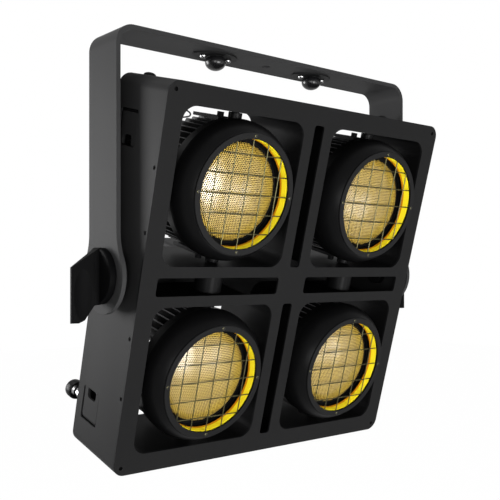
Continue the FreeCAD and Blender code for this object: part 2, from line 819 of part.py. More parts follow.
def link_hardware():
    """Hinge pins and catch pins across the pockets, and the sleeves of the spring plungers."""
    members = []
    start = front + s.window_depth - s.window_width / 2
    catch = window_offset - s.window_height / 2 + s.catch_pin_inset
    for name, right, up in CORNERS:
        hinge_x = right * (half_width - s.link_recess - s.link_thickness / 2)
        members.append(cylinder("hinge_pin_" + name, s.link_hinge_radius, s.window_width, "y",
                                hinge_x, start, hinge_height(up)))
        members.append(cylinder("catch_pin_" + name, s.catch_pin_radius, s.window_width, "y",
                                right * (half_width - s.catch_pin_depth), start, up * catch))
        x, z = right * (half_width - s.pull_from_side), up * pull_height
        body = cylinder("sleeve_body_" + name, s.pull_sleeve_radius, s.pull_sleeve_length, "y", x, rear, z)
        bore = cylinder("sleeve_bore_" + name, s.pull_pin_radius + s.running_clearance,
                        s.pull_sleeve_length + 2 * s.overrun, "y", x, rear - s.overrun, z)
        members.append(cut("plunger_sleeve_" + name, body, [bore]))
    node_on_housing("link_hardware", members)


def pull_knobs():
    """Spring pull knobs behind the link pockets: a pin, and a waisted round grip."""
    back = rear + s.pull_sleeve_length + s.face_clearance
    radius, length = s.pull_knob_radius, s.pull_knob_length
    waist = radius * GRIP_WAIST_SHARE
    turned = [
        (ZERO, rear - s.pull_pin_reach), (s.pull_pin_radius, rear - s.pull_pin_reach),
        (s.pull_pin_radius, back), (waist, back), (radius, back + length * GRIP_FRONT_SHARE),
        (radius, back + length * GRIP_REAR_SHARE), (waist, back + length), (ZERO, back + length),
    ]
    master = revolve("pull_knob_turned", [turned])
    for name, right, up in CORNERS:
        node_on_housing("pull_knob_" + name, [master], x=right * (half_width - s.pull_from_side),
                        z=up * pull_height)


def housing_screws():
    members = []
    inset_x, inset_z = half_width - s.screw_inset, half_height - s.screw_inset
    for name, right, up in CORNERS:
        members.append(cylinder("front_screw_" + name, s.screw_radius, s.front_thickness - s.screw_recess,
                                "y", right * inset_x, front + s.screw_recess, up * inset_z))
        for row, place in (("inner", s.side_screw_inner), ("outer", s.side_screw_outer)):
            start = half_width - s.screw_recess if right < 0 else half_width - s.shell_wall
            members.append(cylinder("side_screw_%s_%s" % (row, name), s.screw_radius,
                                    s.shell_wall - s.screw_recess, "x", right * start,
                                    front + s.side_screw_depth, up * place))
    node_on_housing("housing_screws", members)


def top_bumpers():
    """Low rubber domes on the housing's top, so that a laid yoke doesn't strike it."""
    members = []
    for name, sign in LEFT_RIGHT:
        dome = bind(doc.addObject("Part::Ellipsoid", "bumper_dome_" + name), Radius1=s.bumper_height,
                    Radius2=s.bumper_radius, Radius3=s.bumper_radius)
        dome.Angle1 = 0
        dome.Angle2 = 90
        move(dome, sign * (half_width - s.bumper_from_side), front + s.bumper_depth, half_height)
        members.append(dome)
    node_on_housing("top_bumpers", members)


def driver_box():
    """A closed sheet box on the back of the cross, drilled for its sockets and buttons."""
    wall = s.box_wall
    outer = extrude("box_outer", "XZ", [rounded(ZERO, ZERO, s.box_width, s.box_height, s.box_edge_radius)],
                    s.box_depth, y=rear)
    hollow = box("box_hollow", s.box_width - 2 * wall, s.box_depth - 2 * wall, s.box_height - 2 * wall,
                 ZERO, rear + s.box_depth / 2, ZERO)
    holes = [(x, ZERO, s.socket_body_radius + s.seat_clearance) for x in socket_places(-1) + socket_places(1)]
    holes += [(x, z, s.button_radius + s.button_clearance) for x, z in button_centres()]
    drills = extrude("box_drills", "XZ", holes, wall + 2 * s.overrun, y=box_rear - wall - s.overrun)
    node_on_housing("driver_box", [cut("box_cut", outer, [hollow, drills])])


def socket_places(side):
    return [side * s.socket_offset, side * (s.socket_offset + s.socket_pitch)]


def button_centres():
    """Two columns and two rows of buttons beside the display."""
    return [(s.button_offset + right * s.button_pitch / 2, up * s.button_pitch / 2)
            for name, right, up in CORNERS]


def power_supply():
    node_on_housing("power_supply", [
        box("supply_case", s.supply_width, s.supply_depth, s.supply_height, ZERO,
            rear + s.box_wall + s.supply_depth / 2, ZERO)])


def control_panel():
    """The panel on the electronics box, with its display window and button holes."""
    loops = [rounded(ZERO, ZERO, s.panel_width, s.panel_height, s.panel_corner_radius),
             rectangle(-s.display_offset, ZERO, s.display_width, s.display_height)]
    loops += [(x, z, s.button_radius + s.button_clearance) for x, z in button_centres()]
    node_on_housing("control_panel", [extrude("panel_sheet", "XZ", loops, s.panel_thickness, y=box_rear)])


def display():
    gap = 2 * s.seat_clearance
    node_on_housing("display", [
        box("display_glass", s.display_width - gap, s.display_thickness, s.display_height - gap,
            -s.display_offset, box_rear + s.display_thickness / 2, ZERO)])


def buttons():
    """Four menu buttons, each with a collar behind the wall so that it can't fall out."""
    inside = box_rear - s.box_wall - s.face_clearance
    turned = [
        (ZERO, inside - s.button_collar), (s.button_radius + s.button_collar, inside - s.button_collar),
        (s.button_radius + s.button_collar, inside), (s.button_radius, inside),
        (s.button_radius, box_rear + s.panel_thickness + s.button_proud),
        (ZERO, box_rear + s.panel_thickness + s.button_proud),
    ]
    master = revolve("button_turned", [turned])
    for (name, right, up), (x, z) in zip(CORNERS, button_centres()):
        node_on_housing("menu_button_" + name, [master], x=x, z=z)


def sockets(node, places):
    """Panel sockets: a square flange outside, a round body inside and an open bore."""
    members = []
    for number, x in enumerate(places):
        flange = box("%s_flange_%d" % (node, number), s.socket_flange_width, s.socket_flange_thickness,
                     s.socket_flange_height, x, box_rear + s.socket_flange_thickness / 2, ZERO)
        body = cylinder("%s_body_%d" % (node, number), s.socket_body_radius,
                        s.socket_body_length + s.socket_flange_thickness, "y", x,
                        box_rear - s.socket_body_length, ZERO)
        bore = cylinder("%s_bore_%d" % (node, number), s.socket_bore_radius,
                        s.socket_bore_depth + s.overrun, "y", x,
                        box_rear + s.socket_flange_thickness - s.socket_bore_depth, ZERO)
        members.append(cut("%s_%d" % (node, number), fuse("%s_blank_%d" % (node, number), [flange, body]),
                           [bore]))
    node_on_housing(node, members)


def safety_eye():
    """A half ring of rod standing from the back of the top border."""
    ring = bind(doc.addObject("Part::Torus", "eye_ring"), Radius1=s.eye_radius, Radius2=s.eye_rod_radius)
    ring.Angle3 = 180
    node_on_housing("safety_eye", [move(ring, ZERO, rear, half_height - s.eye_from_end)])


# The pods, each modelled round the Y axis with its depths from the front plate

def at(depth):
    return front + depth


def bell_profile():
    """The outline of the bell: a lip, a full front curve, a straight band and the shelf."""
    rise = s.bell_radius - s.bell_front_radius
    lip_front = s.bezel_front + s.bezel_thickness
    run = s.bell_widest_depth - lip_front
    bow = (rise * rise + run * run) / (2 * rise)
    wall = s.bell_wall
    shelf = s.shelf_depth
    slope = rise * (shelf - lip_front) / run
    inner_at_shelf = s.bell_front_radius - wall + slope
    shelf_back = shelf + s.shelf_thickness
    return [
        (s.bell_lip_radius, at(lip_front)), (s.bell_front_radius, at(lip_front), bow, 1),
        (s.bell_radius, at(s.bell_widest_depth)), (s.bell_rear_radius, at(s.bell_rear_depth)),
        (s.bell_rear_radius - wall, at(s.bell_rear_depth)), (s.bell_rear_radius - wall, at(shelf_back)),
        (s.shelf_inner_radius, at(shelf_back)), (s.shelf_inner_radius, at(shelf)),
        (inner_at_shelf, at(shelf)), (s.bell_front_radius - wall, at(lip_front + s.bell_lip)),
        (s.bell_lip_radius, at(lip_front + s.bell_lip)),
    ]


def bell_master():
    """A turned bell with a bored pan boss above and below."""
    body = doc.addObject("PartDesign::Body", "bell_body")
    turn = body.newObject("PartDesign::Revolution", "bell_turn")
    turn.Profile = body_sketch(body, "bell_sketch", "XY_Plane", [bell_profile()])
    turn.ReferenceAxis = (turn.Profile[0], ["V_Axis"])
    turn.Angle = 360
    doc.recompute()
    bosses = []
    bores = []
    y = at(s.pan_depth)
    boss_top = half_opening - s.pan_boss_gap
    boss_foot = s.bell_rear_radius - s.bell_wall - s.pan_boss_gap
    bore_foot = half_opening - s.pan_pin_length - s.face_clearance
    for name, up in (("top", 1), ("low", -1)):
        start = boss_foot if up > 0 else -boss_top
        bosses.append(cylinder("bell_boss_" + name, s.pan_boss_radius, boss_top - boss_foot, "z",
                               ZERO, y, start))
        start = bore_foot if up > 0 else -boss_top - s.overrun
        bores.append(cylinder("bell_bore_" + name, s.pan_pin_radius + s.running_clearance,
                              boss_top - bore_foot + s.overrun, "z", ZERO, y, start))
    # The boss stops at the band's rear face, where the heat sink begins
    joined = fuse("bell_joined", [body] + bosses)
    rear_cut = box("bell_rear_cut", 2 * s.bell_radius, s.pan_boss_radius * 2, 2 * half_opening, ZERO,
                   at(s.bell_rear_depth) + s.pan_boss_radius, ZERO)
    return cut("bell_cut", joined, bores + [rear_cut])


def bezel_master():
    loop = [(s.bezel_inner_radius, at(s.bezel_front)), (s.bezel_outer_radius, at(s.bezel_front)),
            (s.bezel_outer_radius, at(s.bezel_front + s.bezel_thickness)),
            (s.bezel_inner_radius, at(s.bezel_front + s.bezel_thickness))]
    return revolve("bezel_turned", [loop])


def wire_guard_master():
    """Five upright wires and, right behind them, five level wires."""
    reach = s.bell_lip_radius - s.seat_clearance
    members = []
    layer = s.bezel_front + s.bezel_thickness + s.wire_radius
    for number, share in enumerate(WIRE_SHARES):
        place = share * s.bezel_inner_radius
        edge = abs(share) * s.bezel_inner_radius + s.wire_radius
        half = root(reach * reach - edge * edge)
        members.append(cylinder("upright_wire_%d" % number, s.wire_radius, 2 * half, "z",
                                place, at(layer), -half))
        members.append(cylinder("level_wire_%d" % number, s.wire_radius, 2 * half, "x",
                                -half, at(layer + 2 * s.wire_radius), place))
    return members


def amber_ring_master():
    start = s.bezel_front + s.bezel_thickness + 4 * s.wire_radius
    outer = s.bell_lip_radius - s.seat_clearance
    end = start + s.amber_ring_depth
    loop = [(s.amber_ring_inner_radius, at(start)), (outer, at(start)), (outer, at(end)),
            (s.amber_ring_inner_radius, at(end))]
    return revolve("amber_ring_turned", [loop])


def lens_master():
    """A domed lens seated in the bell's shelf, its rim behind the shelf."""
    radius = s.shelf_inner_radius - s.seat_clearance
    rise, thick = s.lens_rise, s.lens_thickness
    bow = (radius * radius + rise * rise) / (2 * rise)
    inner = radius - thick
    inner_bow = (inner * inner + rise * rise) / (2 * rise)
    back = s.shelf_depth + s.shelf_thickness
    rim = s.shelf_inner_radius + s.lens_rim_width
    loop = [
        (ZERO, at(s.shelf_depth - rise), bow, 1), (radius, at(s.shelf_depth)), (radius, at(back)),
        (rim, at(back)), (rim, at(back + s.lens_rim_thickness)), (inner, at(back + s.lens_rim_thickness)),
        (inner, at(s.shelf_depth + thick), inner_bow, -1), (ZERO, at(s.shelf_depth + thick - rise)),
    ]
    return revolve("lens_turned", [loop])


def heat_sink_master():
    """A turned core with a ring of radial fins, chamfered behind, and the lamp pad."""
    body = doc.addObject("PartDesign::Body", "heat_sink_body")
    face, end = s.bell_rear_depth, s.fin_rear_depth
    pad = face - s.sink_spigot - s.led_pad_height
    core = [
        (ZERO, at(pad)), (s.led_pad_radius, at(pad)), (s.led_pad_radius, at(face - s.sink_spigot)),
        (s.sink_boss_radius, at(face - s.sink_spigot)), (s.sink_boss_radius, at(face)),
        (s.fin_radius, at(face)), (s.fin_radius, at(face + s.sink_flange)),
        (s.fin_root_radius, at(face + s.sink_flange)), (s.fin_root_radius, at(end - s.fin_chamfer)),
        (s.fin_root_radius - s.fin_chamfer, at(end)), (ZERO, at(end)),
    ]
    turn = body.newObject("PartDesign::Revolution", "sink_turn")
    turn.Profile = body_sketch(body, "sink_sketch", "XY_Plane", [core])
    turn.ReferenceAxis = (turn.Profile[0], ["V_Axis"])
    turn.Angle = 360
    doc.recompute()
    root_in = s.fin_root_radius - s.fin_thickness
    fin = [
        (root_in, at(face + s.sink_flange / 2)), (s.fin_radius, at(face + s.sink_flange / 2)),
        (s.fin_radius, at(end - s.fin_chamfer)), (s.fin_radius - s.fin_chamfer, at(end)),
        (s.fin_root_radius, at(end)), (root_in, at(end - s.fin_chamfer)),
    ]
    pad_fin = body.newObject("PartDesign::Pad", "sink_fin")
    pad_fin.Profile = body_sketch(body, "fin_sketch", "XY_Plane", [fin])
    pad_fin.Midplane = True
    bind(pad_fin, Length=s.fin_thickness)
    doc.recompute()
    ring = body.newObject("PartDesign::PolarPattern", "sink_fins")
    ring.Originals = [pad_fin]
    ring.Axis = (turn.Profile[0], ["V_Axis"])
    ring.Angle = 360
    bind(ring, Occurrences=s.fin_count)
    body.Tip = ring
    # The lead enters through a gland that stands radially among the fins
    gland = bind(doc.addObject("Part::Cylinder", "lead_gland"), Radius=s.gland_radius,
                 Height=s.fin_radius + s.gland_reach)
    gland.Placement.Rotation = FreeCAD.Rotation(V(0, -1, 0), s.lead_angle.value)
    bind(gland, Placement__Rotation__Angle=s.lead_angle)
    move(gland, ZERO, at(s.lead_depth), ZERO)
    return fuse("heat_sink_whole", [body, gland])


def pan_plate_master():
    """The bracket plates above and below a pod, with the two lock screws on each."""
    members = []
    start = at(s.pan_depth + s.pan_pin_radius + 2 * s.face_clearance)
    middle = start + s.pan_plate_length / 2
    for name, up in (("top", 1), ("low", -1)):
        z = up * (s.fin_radius + s.pan_plate_thickness / 2)
        plate = box("pan_plate_" + name, s.pan_plate_width, s.pan_plate_length, s.pan_plate_thickness,
                    ZERO, middle, z)
        base = s.fin_radius + s.pan_plate_thickness
        foot = base if up > 0 else -base - s.lock_screw_height
        heads = [cylinder("lock_screw_%s_%s" % (name, side), s.lock_screw_radius, s.lock_screw_height, "z",
                          sign * s.lock_screw_pitch / 2, start + s.lock_screw_setback, foot)
                 for side, sign in LEFT_RIGHT]
        members.append(fuse("pan_bracket_" + name, [plate] + heads))
    return members


def pods():
    kinds = {
        "bell": [bell_master()],
        "bezel": [bezel_master()],
        "wire_guard": wire_guard_master(),
        "amber_ring": [amber_ring_master()],
        "lens": [lens_master()],
        "heat_sink": [heat_sink_master()],
        "pan_bracket": pan_plate_master(),
    }
    for name, right, up in CORNERS:
        for kind, members in kinds.items():
            node_on_housing("%s_%s" % (kind, name), members, x=right * half_pitch, z=up * half_pitch)


# A lamp lead's route between its two ends, from the pod's centre: sideways, depth, height
LEAD_ROUTE = (
    (-65, 81, 93.5),
    (-53, 80, 91.5),
    (-41, 79, 90.5),
    (-33.5, 79, 88),
    (-33, 79, 83.5),
    (-40, 80, 81.5),
    (-50, 80, 79.5),
    (-59.5, 80, 76),
)


def tube(points, radius):
    """A round tube along straight runs joined by the largest arcs that the runs allow."""
    edges, radii = [], []
    last = points[0]
    for before, corner, after in zip(points, points[1:], points[2:]):
        into, out = corner - before, after - corner
        trim = min(into.Length, out.Length) * LEAD_TRIM_SHARE
        half_turn = into.getAngle(out) / 2
        radii.append(trim / math.tan(half_turn))
        into.normalize()
        out.normalize()
        first, second = corner - into * trim, corner + out * trim
        inward = (out - into).normalize()
        middle = corner + inward * radii[-1] * (1 / math.cos(half_turn) - 1)
        edges += [Part.LineSegment(last, first).toShape(), Part.Arc(first, middle, second).toShape()]
        last = second
    edges.append(Part.LineSegment(last, points[-1]).toShape())
    path = Part.Wire(edges)
    section = Part.Wire([Part.Circle(points[0], points[1] - points[0], radius).toShape()])
    shell = Part.BRepOffsetAPI.MakePipeShell(path)
    shell.add(section)
    shell.build()
    shell.makeSolid()
    print("lead: %.1f mm long, least arc %.1f mm" % (path.Length, min(radii)))
    return shell.shape()


def lamp_leads():
    """The thin lead of each lamp, from the duct's ceiling to the gland on its heat sink."""
    start = V(LEAD_ROUTE[0][0], front.value + LEAD_ROUTE[0][1], half_opening.value)
    reach = s.fin_radius.value + s.gland_reach.value
    turn = math.radians(s.lead_angle.value)
    way = V(-math.sin(turn), 0, math.cos(turn))
    end = way * reach + V(0, front.value + s.lead_depth.value, 0)
    near = end + way * s.gland_straight.value
    route = [V(x, front.value + depth, z) for x, depth, z in LEAD_ROUTE]
    shape = tube([start] + route + [near, end], s.lead_radius.value)
    members = []
    for name, right, up in CORNERS:
        lead = doc.addObject("Part::Feature", "lead_" + name)
        lead.Shape = shape
        members.append(move(lead, right * half_pitch, ZERO, up * half_pitch))
    node_on_housing("lamp_leads", members)


yoke()
bracket_sockets()
friction_washers()
for side_name, side_sign in LEFT_RIGHT:
    knob(side_name, side_sign)
tilt_hubs()
housing_shell()
front_plate()
rear_plate()
cell_ducts()
pan_posts()
link_pockets()
link_plates()
link_hardware()
pull_knobs()
housing_screws()
top_bumpers()
driver_box()
power_supply()
control_panel()
display()
buttons()
sockets("power_sockets", socket_places(-1))
sockets("data_sockets", socket_places(1))
safety_eye()
pods()
lamp_leads()

doc.recompute()

# Check every object before anything is written
for item in doc.Objects:
    if {"Invalid", "Error"} & set(item.State):
        raise RuntimeError("%s failed: %s" % (item.Name, item.State))
for node, item in NODES.items():
    if item.Shape.isNull() or not item.Shape.isValid():
        raise RuntimeError("%s has no valid shape" % node)

os.makedirs("parts", exist_ok=True)
for node, item in NODES.items():
    item.Shape.exportStep("parts/%s.step" % node)
    print("%s: %d solids, %.1f cm3" % (node, len(item.Shape.Solids), item.Shape.Volume / 1000))
print("%d nodes" % len(NODES))
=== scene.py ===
# %% [markdown]
# # An audience blinder light
# Four round lamps sit in a square box that hangs in a U-shaped yoke. The lamps look gold and
# everything else is black, so soft reflections on black paint carry the picture.
# We first read the construction model. It fixes every size, and we only dress it.

# %% Load the construction model
import json
import math

import bmesh
import bpy
import numpy as np
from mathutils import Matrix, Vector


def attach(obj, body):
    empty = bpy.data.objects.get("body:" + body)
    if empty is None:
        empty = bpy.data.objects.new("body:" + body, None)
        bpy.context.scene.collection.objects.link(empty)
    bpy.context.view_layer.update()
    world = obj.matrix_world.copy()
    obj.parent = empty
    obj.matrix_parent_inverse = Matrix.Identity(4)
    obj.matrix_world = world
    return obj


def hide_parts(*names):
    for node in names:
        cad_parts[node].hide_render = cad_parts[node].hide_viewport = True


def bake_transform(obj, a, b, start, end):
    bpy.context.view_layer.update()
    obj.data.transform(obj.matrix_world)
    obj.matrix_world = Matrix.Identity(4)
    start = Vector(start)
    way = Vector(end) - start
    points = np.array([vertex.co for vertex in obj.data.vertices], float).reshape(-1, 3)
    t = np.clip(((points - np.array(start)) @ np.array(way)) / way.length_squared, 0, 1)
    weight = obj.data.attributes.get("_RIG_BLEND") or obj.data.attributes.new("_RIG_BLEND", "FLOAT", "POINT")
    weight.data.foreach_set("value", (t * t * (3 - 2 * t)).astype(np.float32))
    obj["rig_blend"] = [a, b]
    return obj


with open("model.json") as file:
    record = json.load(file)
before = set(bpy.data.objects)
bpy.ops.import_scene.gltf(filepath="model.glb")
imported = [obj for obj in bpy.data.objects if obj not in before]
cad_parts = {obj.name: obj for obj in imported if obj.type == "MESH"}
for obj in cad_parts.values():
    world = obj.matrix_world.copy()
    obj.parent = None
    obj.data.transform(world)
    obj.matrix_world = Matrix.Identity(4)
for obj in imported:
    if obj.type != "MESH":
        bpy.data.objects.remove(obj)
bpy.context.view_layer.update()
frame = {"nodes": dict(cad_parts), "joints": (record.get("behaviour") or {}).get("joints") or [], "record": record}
MM = 0.001


record = frame["record"]
joints = {joint["name"]: joint for joint in frame["joints"]}
body_of = {node: body for body, nodes in record["behaviour"]["bodies"].items() for node in nodes}
slot_of = {part["node"]: part["material_slot"] for part in record["subparts"]}
print("nodes:", len(body_of), "joints:", len(joints))

# %% [markdown]
# The box is tilted in its yoke, so its pieces are easier to draw in its own upright frame:
# x to the right, depth back from the front plate's face, and height from the tilt axis.
# The joints tell where that frame lies: the tilt hinge gives its origin, and a lamp's pan
# axis gives its upright. One matrix then carries any drawn point to its place.

# %% The housing's own frame
PIVOT_DEPTH = 56.0
PAN_DEPTH = 28.0
HALF_WIDTH, HALF_HEIGHT, SCREW_INSET = 250.0, 251.0, 11.0
pivot = np.array(joints["tilt"]["pos_m"])
upright = np.array(joints["pan_upper_left"]["axis"])
sideways = np.array([1.0, 0.0, 0.0])
backwards = np.cross(upright, sideways)
turn = np.array([sideways, backwards, upright])


def housed(points):
    """Row = pivot + (x, depth - pivot depth, height) turned by the tilt, in metres."""
    points = np.asarray(points, float) - [0, PIVOT_DEPTH, 0]
    return pivot + points * MM @ turn


CORNERS = {name[4:]: joint for name, joint in joints.items() if name.startswith("pan_")}


def pod_centre(corner):
    """The x and height of a lamp's middle in the housing's frame, in millimetres."""
    local = (np.array(CORNERS[corner]["pos_m"]) - pivot) @ turn.T / MM
    return local[0], local[2]


for corner in CORNERS:
    print(corner, "at", np.round(pod_centre(corner), 1))

# %% [markdown]
# Shader maths reads best as plain sums. The class below wraps a node's socket, so that
# `0.28 + stain * 0.08` adds the Math nodes by itself. Every other node comes from one method.

# %% A small language for finishes


class Wire:
    """A socket that takes part in sums: each operator adds one Math node."""

    def __init__(self, finish, socket):
        self.finish = finish
        self.socket = socket

    def maths(self, operation, *values):
        return self.finish.add("ShaderNodeMath", {"operation": operation}, dict(enumerate(values)))

    def __add__(self, other):
        return self.maths("ADD", self, other)

    def __mul__(self, other):
        return self.maths("MULTIPLY", self, other)

    __radd__ = __add__
    __rmul__ = __mul__


class Finish:
    """A material being built round one Principled shader."""

    def __init__(self, name, **sockets):
        self.material = bpy.data.materials.new(name)
        self.material.use_nodes = True
        self.tree = self.material.node_tree
        self.shader = self.tree.nodes["Principled BSDF"]
        self.place = self.add("ShaderNodeTexCoord", output="Object")
        for socket, value in sockets.items():
            self.set(socket.replace("_", " ").title().replace("Ior", "IOR"), value)

    def add(self, kind, settings=None, inputs=None, output=0):
        """One node: its settings first, then the values or links of its sockets."""
        node = self.tree.nodes.new(kind)
        for key, value in (settings or {}).items():
            setattr(node, key, value)
        for key, value in (inputs or {}).items():
            self.connect(node.inputs[key], value)
        return Wire(self, node.outputs[output])

    def connect(self, socket, value):
        if isinstance(value, Wire):
            self.tree.links.new(value.socket, socket)
        elif isinstance(value, tuple) and socket.type == "RGBA":
            socket.default_value = value + (1,)
        else:
            socket.default_value = value

    def set(self, socket, value):
        self.connect(self.shader.inputs[socket], value)

    def noise(self, scale, detail=2.0, roughness=0.5):
        inputs = {"Vector": self.place, "Scale": scale, "Detail": detail, "Roughness": roughness}
        return self.add("ShaderNodeTexNoise", None, inputs)

    def mix(self, factor, low, high):
        """A colour between low and high."""
        return self.add("ShaderNodeMix", {"data_type": "RGBA"}, {0: factor, 6: low, 7: high}, output=2)

    def bump(self, height, distance):
        """A relief that is at most this many metres deep."""
        self.set("Normal", self.add("ShaderNodeBump", None, {"Height": height, "Distance": distance}))


# %% [markdown]
# Powder coat is paint baked from dust. Close up it has a fine orange peel, and from a step
# away that shows as a soft grain in the highlight. So the colour is nearly even, the
# roughness wanders a little, and a tiny bump of under a millimetre breaks the reflection.

# %% Black paints
PAINT_LIFT = 1.45


def paint(name, colour, roughness, grain, depth, specular=0.5):
    """Black paint: grain is the peel's count per metre and depth its height in metres."""
    finish = Finish(name, specular_ior_level=specular)
    cloud = finish.noise(9.0, 3.0)
    dust = finish.noise(260.0, 4.0, 0.65)
    lighter = tuple(min(1.0, value * PAINT_LIFT) for value in colour)
    finish.set("Base Color", finish.mix(cloud * 0.6 + dust * 0.4, colour, lighter))
    finish.set("Roughness", roughness - 0.06 + cloud * 0.07 + dust * 0.05)
    finish.bump(finish.noise(grain, 3.0, 0.6), depth)
    return finish.material


STEEL_GRAIN, CAST_GRAIN = 1150.0, 700.0
powder_black = paint("powder_coat_black", (0.0200, 0.0200, 0.0203), 0.55, STEEL_GRAIN, 0.00012, 0.03)
housing_black = paint("powder_coat_housing", (0.0112, 0.0112, 0.0114), 0.52, STEEL_GRAIN, 0.00008, 0.03)
panel_black = paint("powder_coat_thin_sheet", (0.0062, 0.0062, 0.0063), 0.52, STEEL_GRAIN, 0.00005, 0.03)
# A darker black for the front plate's side faces: painted shade on its edges.
plate_edge_shade = paint("powder_coat_cut_edge", (0.0040, 0.0040, 0.0042), 0.55, STEEL_GRAIN, 0.00004, 0.05)
# A near-black that also paints the shade inside the cells and round the knobs.
shade_black = paint("powder_coat_duct", (0.0026, 0.0026, 0.0027), 0.45, STEEL_GRAIN, 0.00004, 0.015)
cast_black = paint("cast_paint_black", (0.0020, 0.0020, 0.0021), 0.34, CAST_GRAIN, 0.00003, 0.045)
rim_black = paint("bezel_paint_black", (0.0040, 0.0040, 0.0041), 0.45, CAST_GRAIN, 0.00002, 0.06)
zinc_black = paint("blackened_steel", (0.0045, 0.0045, 0.0048), 0.26, STEEL_GRAIN, 0.00002, 0.25)
# Near-black screw heads: black screws, darkened further as painted shade of their holes.
screw_hole_shade_black = paint("screw_black", (0.0008, 0.0008, 0.0008), 0.60, STEEL_GRAIN, 0.00002, 0.02)
# A lighter grey for the fins' tips: a painted highlight on their end faces.
fin_tip_highlight = paint("worn_fin_edge", (0.060, 0.060, 0.062), 0.40, CAST_GRAIN, 0.00002, 0.4)

# %% [markdown]
# Moulded knobs and plugs have a spark-eroded texture: coarser and flatter than paint.
# Rubber is the same idea with a high roughness and a little dust on it.

# %% Plastics and rubber
MOULD_GRAIN = 900.0
knob_black = paint("moulded_knob_black", (0.0014, 0.0014, 0.0015), 0.46, MOULD_GRAIN, 0.00003, 0.012)
connector_black = paint("moulded_plug_black", (0.0090, 0.0090, 0.0095), 0.50, MOULD_GRAIN, 0.00004, 0.15)
rubber_black = paint("rubber_black", (0.0045, 0.0045, 0.0045), 0.72, MOULD_GRAIN, 0.00008, 0.08)
panel_film = paint("printed_film_black", (0.0110, 0.0110, 0.0118), 0.55, MOULD_GRAIN, 0.00002, 0.15)

# %% [markdown]
# Bright metal needs something to reflect more than it needs colour. Fine turning marks
# are rings round the turned axis, but at this scale a stretched noise does the same.

# %% Metals


def metal(name, colour, roughness, scratch_scale):
    finish = Finish(name, metallic=1.0)
    scratches = finish.noise(scratch_scale, 4.0, 0.7)
    finish.set("Base Color", finish.mix(scratches, tuple(value * 0.8 for value in colour), colour))
    finish.set("Roughness", roughness + scratches * 0.12)
    finish.bump(scratches, 0.00002)
    return finish.material


bright_steel = metal("bright_turned_steel", (0.62, 0.62, 0.63), 0.16, 1400.0)
guard_steel = metal("guard_wire_steel", (0.075, 0.070, 0.036), 0.30, 2200.0)
screw_steel = metal("screw_steel", (0.30, 0.30, 0.30), 0.24, 1800.0)

# %% [markdown]
# The lamp's front is a domed sheet with thousands of small holes. Its gold is a warm colour
# under a clear coat with a broad highlight, so that one side takes the light and the other
# falls away to brown. The holes' walls are a darker brown, painted shade inside the holes.

# %% Lamp colours


def gold_sheet():
    finish = Finish("gold_dome", specular_ior_level=0.35, coat_weight=1.0, coat_roughness=0.28,
                    coat_ior=2.0)
    stain = finish.noise(60.0, 3.0)
    finish.set("Base Color", finish.mix(stain, (0.48, 0.325, 0.05), (0.58, 0.41, 0.08)))
    finish.set("Roughness", 0.28 + stain * 0.08)
    finish.bump(finish.noise(900.0, 2.0), 0.00003)
    return finish.material


# The holes' walls: a dark brown that paints the shade inside the holes.
def hole_shade_brown():
    finish = Finish("gold_dome_holes", specular_ior_level=0.2)
    stain = finish.noise(400.0, 2.0)
    finish.set("Base Color", finish.mix(stain, (0.040, 0.020, 0.006), (0.080, 0.042, 0.012)))
    finish.set("Roughness", 0.55 + stain * 0.2)
    return finish.material


def amber_wall():
    finish = Finish("amber_inner_wall", specular_ior_level=0.25)
    stain = finish.noise(140.0, 3.0)
    finish.set("Base Color", finish.mix(stain, (0.98, 0.76, 0.008), (1.0, 0.86, 0.03)))
    finish.set("Roughness", 0.30 + stain * 0.12)
    finish.bump(stain, 0.00005)
    return finish.material


# A darker orange for the ring's rear band and end: painted shade toward the back of the ring.
def amber_rear_shade_paint():
    finish = Finish("amber_comb", specular_ior_level=0.25)
    stain = finish.noise(140.0, 3.0)
    finish.set("Base Color", finish.mix(stain, (0.55, 0.20, 0.002), (0.75, 0.32, 0.004)))
    finish.set("Roughness", 0.40 + stain * 0.12)
    return finish.material


gold, hole_shade_colour, amber, amber_comb = gold_sheet(), hole_shade_brown(), amber_wall(), amber_rear_shade_paint()


def dark_window():
    finish = Finish("display_window", coat_weight=1.0, coat_roughness=0.03)
    smear = finish.noise(45.0, 4.0)
    finish.set("Base Color", finish.mix(smear, (0.004, 0.006, 0.010), (0.007, 0.010, 0.016)))
    finish.set("Roughness", 0.08 + smear * 0.12)
    return finish.material


display_window = dark_window()

# %% [markdown]
# The construction model names a material slot for every piece. Most slots have one finish, and
# a few pieces that look darker in the photograph than the rest of their slot get their own.
# The near-black of the ducts, pockets, pan brackets, hubs and washers is partly painted shade:
# it stands in for the shade deep in the cells and round the clamp knobs.

# %% A finish for every piece
FINISHES = {
    "black_steel": powder_black,
    "black_aluminium": panel_black,
    "cast_black": cast_black,
    "zinc_black": zinc_black,
    "guard_wire": guard_steel,
    "bright_steel": bright_steel,
    "amber": amber,
    "gold_lens": gold,
    "knob_black": knob_black,
    "rubber_black": rubber_black,
    "connector_black": connector_black,
    "display_glass": display_window,
    "panel_black": panel_film,
    "supply_case": screw_steel,
}
# The shade_black pieces carry painted shade for the cells' insides and the knobs' surroundings.
OWN_FINISHES = {"housing_shell": housing_black, "link_plates": housing_black, "cell_ducts": shade_black,
                "link_pockets": shade_black, "pan_posts": cast_black, "tilt_hubs": shade_black,
                "friction_washers": shade_black}
for node in frame["nodes"]:
    if node.startswith("pan_bracket"):
        OWN_FINISHES[node] = shade_black
for node, item in frame["nodes"].items():
    item.data.materials.clear()
    item.data.materials.append(OWN_FINISHES.get(node, FINISHES[slot_of[node]]))

# %% [markdown]
# Real sheet metal has no knife edges: each edge is broken by a fraction of a millimetre, and
# that narrow round catches a line of light. So most pieces are a merged copy of the
# construction model with a small bevel, whose hardened normals keep the flats flat.

# %% Dress the construction pieces
MERGE = 1e-5
FLAT = math.radians(0.6)
SHARP = math.radians(32)


